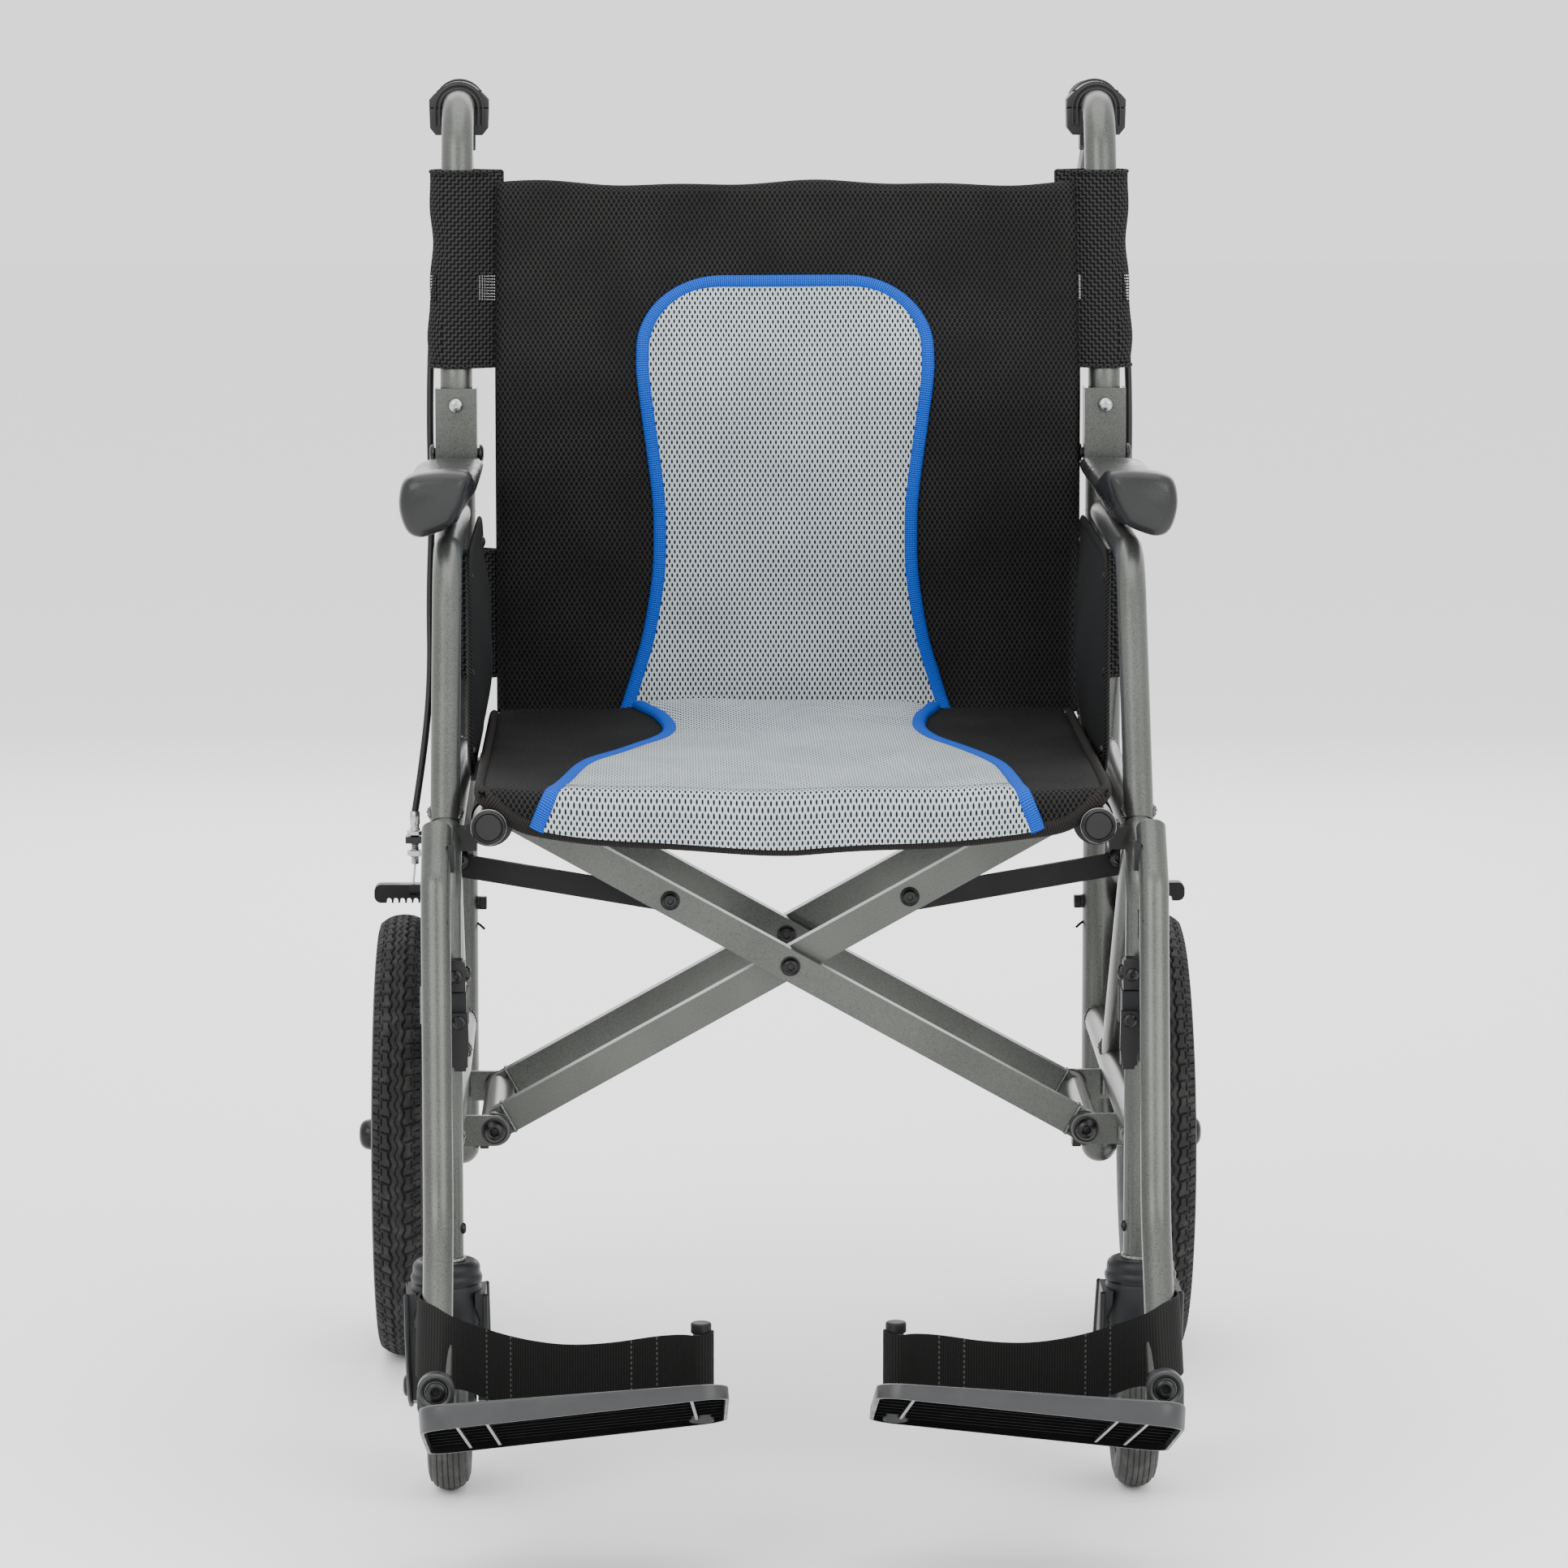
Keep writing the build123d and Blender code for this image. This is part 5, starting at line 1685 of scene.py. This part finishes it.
def plate_ring(inset, z, radius=17.0):
    """A ring of points round the plate, inset from its edge."""
    ring = []
    corner = max(1.0, radius - inset)
    for centre_x, centre_y, start in [
        (-inset - corner, inset + corner, -90),
        (-inset - corner, PLATE_DEPTH - inset - corner, 0),
        (-PLATE_WIDTH + inset + corner, PLATE_DEPTH - inset - corner, 90),
        (-PLATE_WIDTH + inset + corner, inset + corner, 180),
    ]:
        for angle in spread(radians(start), radians(start + 90), 13):
            ring.append(on_plate(centre_x + corner * cos(angle), centre_y + corner * sin(angle), z))
    return ring


# The second slot is a painted highlight on the end ribs' lower faces, and the third is painted shade inside
# the tray and on its ribs.
PLATE_TOP, EDGE_HIGHLIGHT, PLATE_SHADE = 0, 1, 2  # material slots of a footplate


def plate_bar(bm, start, end, half, low, high, edge=False):
    """A ridge on the plate or a rib below it, between two places. Ribs take the painted shade, and edge gives
    a rib a pale lower face, a painted highlight.
    """
    start, end = Vector(start), Vector(end)
    side = (end - start).normalized()
    side = Vector((-side.y, side.x)) * half
    corners = [start - side, end - side, end + side, start + side]
    rows = [[on_plate(c.x, c.y, z) for c in corners] for z in (high, low)]
    material = PLATE_TOP if low > -1 else PLATE_SHADE
    verts = skin(bm, rows, closed=True, material=material)
    bm.faces.new(verts[0]).material_index = material
    bm.faces.new(verts[1][::-1]).material_index = EDGE_HIGHLIGHT if edge else material


def footplate():
    """Open-bottomed tray with a rounded rim, ridges on top, ribs below, a hinge ear and a strap stub."""
    bm = bmesh.new()
    rings = [plate_ring(12, 0.0), plate_ring(3.0, 0.0), plate_ring(1.2, -0.5), plate_ring(0.3, -1.6)]
    rings += [plate_ring(0, -3.2), plate_ring(0, -PLATE_RIM + 0.8), plate_ring(0.4, -PLATE_RIM)]
    rings += [plate_ring(2.2, -PLATE_RIM), plate_ring(2.6, -PLATE_RIM + 0.6), plate_ring(2.6, -3)]
    outside = skin(bm, rings[:8], closed=True)
    # The tray's inside takes the painted shade.
    inside = skin(bm, rings[7:], closed=True, material=PLATE_SHADE)
    bm.faces.new(outside[0])
    bm.faces.new(inside[-1][::-1]).material_index = PLATE_SHADE
    for y in (22, 40, 58, 76, 94, 112, 130):
        plate_bar(bm, (-PLATE_WIDTH + 3, y), (-3, y), 0.8, -12.5, -2.8)
    for x in (-64, -92, -118, -142):
        plate_bar(bm, (x, 12), (x - 4, PLATE_DEPTH - 2.5), 0.9, -9.5, -2.8)
    for x in (-22, -40, -163):
        plate_bar(bm, (x, 2.4), (x - 5, PLATE_DEPTH - 2.5), 0.9, -14.4, -2.8, edge=True)
    ridge, pitch = 14, 24.3
    for row in range(9):
        for column in range(7):
            x = -20 - column * pitch - (12 if row % 2 else 0)
            if x - ridge > -PLATE_WIDTH + 8:
                y = 20 + row * 14
                plate_bar(bm, (x, y), (x - ridge, y), 1.3, -0.2, 1.0)
    x, y, z = PLATE_HINGE
    ear = [(7.6, 0.4), (7.6, 9.4), (9.2, 10.3), (10.6, 10.1), (11.4, 9.0), (11.4, 0.4)]
    turned_ring(bm, ear, (x, y, z), 56, axis=(0, -1, 0))
    turned(bm, [(7.6, 4.4), (5.2, 4.2), (0, 4.2)], (x, y, z), (0, -1, 0), 40)
    web = [(x - 11.4, z), (x - 11.4, z - 14), (x - 8, z - 19)]
    web += [(x + 8.5, z - 19), (x + 11.4, z - 10), (x + 11.4, z)]
    web += [(x + 8.2 * cos(a), z - 8.2 * sin(a)) for a in spread(0, pi, 15)]
    extruded(bm, web, y - 9.4, y - 0.5, bevel=0.6)
    turned(bm, [(0, 92), (5, 92), (5, 148.6), (4.3, 149.6), (0, 149.6)], (*STUB, 0), (0, 0, 1), 28)
    collar = [(8, 88), (8, 104), (6.5, 106), (5, 106), (5, 88)]
    turned_ring(bm, collar, (*STUB, 0), 32, axis=(0, 0, 1))
    return bm


def stub_cap():
    """Rubber cap on the strap's stub."""
    bm = bmesh.new()
    outline = [(6.1, 143.5), (6.4, 144.2), (6.4, 149.2), (5.6, 150), (0, 150)]
    turned(bm, outline, (*STUB, 0), (0, 0, 1), 32)
    return bm


def strap_line():
    """Route of the heel strap, seen from above: round the leaning tube, back in a bow and round the stub."""
    tube = [(221.5 + 12.2 * cos(a), 18 * sin(a)) for a in spread(radians(125), radians(-112), 15)]
    bow = [(210, -14), (198, -4), (180, 11), (160, 21), (138, 27), (115, 28), (95, 24), (78, 15), (70, 10)]
    stub = [(60 + 7.4 * cos(a), 7 + 7.4 * sin(a)) for a in spread(radians(-60), radians(-290), 12)]
    return tube, bow, stub


def heel_strap():
    """A closed band of webbing that follows the leaning tube and dips between it and the stub."""
    tube, bow, stub = strap_line()
    line = [Vector((x, y, 1)) for x, y in tube] + [Vector((x, y, 0)) for x, y in bow + stub]
    fine = []
    for first, second in zip(line, line[1:]):
        fine += [first.lerp(second, share) for share in spread(0, 1, 5)[:-1]]
    fine.append(line[-1])
    fine = smoothed(fine, 6)
    travelled = [0.0]
    for first, second in zip(fine, fine[1:]):
        travelled.append(travelled[-1] + hypot(second.x - first.x, second.y - first.y))
    top_knots = [(50, 145), (80, 140), (115, 133), (145, 132.5)]
    top_knots += [(175, 140), (205, 155), (222, 166), (236, 169)]
    levels = spread(0, 1, 16)
    bm = bmesh.new()
    thick = 1.5
    outlines = []
    for index, point in enumerate(fine):
        before, after = fine[max(index - 1, 0)], fine[min(index + 1, len(fine) - 1)]
        along = Vector((after.x - before.x, after.y - before.y)).normalized()
        outlines.append((point, Vector((along.y, -along.x))))
    for face in (-1, 1):
        rows = []
        for level in levels:
            row = []
            for point, normal in outlines:
                top = curved(point.x, top_knots)
                low = top - 41 - 7 * (1 - abs(point.x - 140) / 90)
                z = low + (top - low) * level
                by_stub, by_tube = -597, -560 - (210 - z) * (634 - 560) / (210 - 125)
                y = point.y + by_stub + (by_tube - by_stub) * point.z
                off = face * thick / 2
                row.append((point.x + normal.x * off, y + normal.y * off, z))
            rows.append(row)
        skin(bm, rows, uvs=lambda a, b: (travelled[min(b, len(travelled) - 1)], a * 2.9))
    count = len(outlines)
    half = len(bm.verts) // 2
    bm.verts.ensure_lookup_table()
    for row in (0, len(levels) - 1):
        for j in range(count - 1):
            a, b = row * count + j, row * count + j + 1
            bm.faces.new((bm.verts[a], bm.verts[b], bm.verts[half + b], bm.verts[half + a]))
    for j in (0, count - 1):
        for i in range(len(levels) - 1):
            a, b = i * count + j, (i + 1) * count + j
            bm.faces.new((bm.verts[a], bm.verts[b], bm.verts[half + b], bm.verts[half + a]))
    return bm


def plate_bolt():
    """The footplate's hinge bolt, with its nut behind the hanger's eye."""
    bm = bmesh.new()
    x, _, z = PLATE_HINGE
    button_head(bm, (x, -660.4, z), (0, -1, 0), 6.3, 2.2)
    turned(bm, rounded(5, -652, -629, 0.4), (x, 0, z), (0, 1, 0), 24)
    hexagon(bm, (x, 0, z), (0, 1, 0), -629, -624, 12)
    return bm


def latch_parts():
    """Knob above the lower saddle block, the tongue below it, and their bolt."""
    bm = bmesh.new()
    knob = [(207, 337), (207, 355), (209, 357), (216.5, 357), (218.5, 355), (218.5, 337)]
    extruded(bm, knob, -477, -463, bevel=1.0)
    tongue = [(206, 288), (206, 311), (208, 313), (216, 313), (217, 311), (217, 288)]
    extruded(bm, tongue, -472, -462, bevel=0.8)
    turned(bm, rounded(4, -474, -470, 0.6), (212.5, 0, 347), (0, 1, 0), 24)
    return bm


def latch_bolts():
    """Screw heads on the latch's front and inner side."""
    bm = bmesh.new()
    button_head(bm, (212.5, -477, 347), (0, -1, 0), 4.2, 2.4)
    button_head(bm, (211, -479.2, 318), (0, -1, 0), 4.4, 2.0)
    button_head(bm, (206.6, -466, 347), (-1, 0, 0), 5.0, 2.6)
    return bm


def footrests():
    plates = paired("foot_tray", footplate, [PLATE, PLATE_EDGE_HIGHLIGHT, TRAY_SHADE], "footplate", 35)
    stand_for(plates, "footplate")
    paired("stub_cap", stub_cap, SADDLE, "footplate")
    paired("plate_bolt", plate_bolt, BLACK_STEEL, "hanger")
    straps = paired("heel_webbing", heel_strap, WEBBING, None, 60)
    stand_for(straps, "heel_strap")
    for side, strap in straps.items():
        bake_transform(strap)
    paired("latch_knob", latch_parts, BLACK_PLASTIC, "hanger")
    paired("latch_bolts", latch_bolts, BLACK_STEEL, "hanger")


studio()
dress_nodes()
back_upholstery()
seat_upholstery()
sleeves()
armrests()
wheels()
fixings()
handles()
footrests()
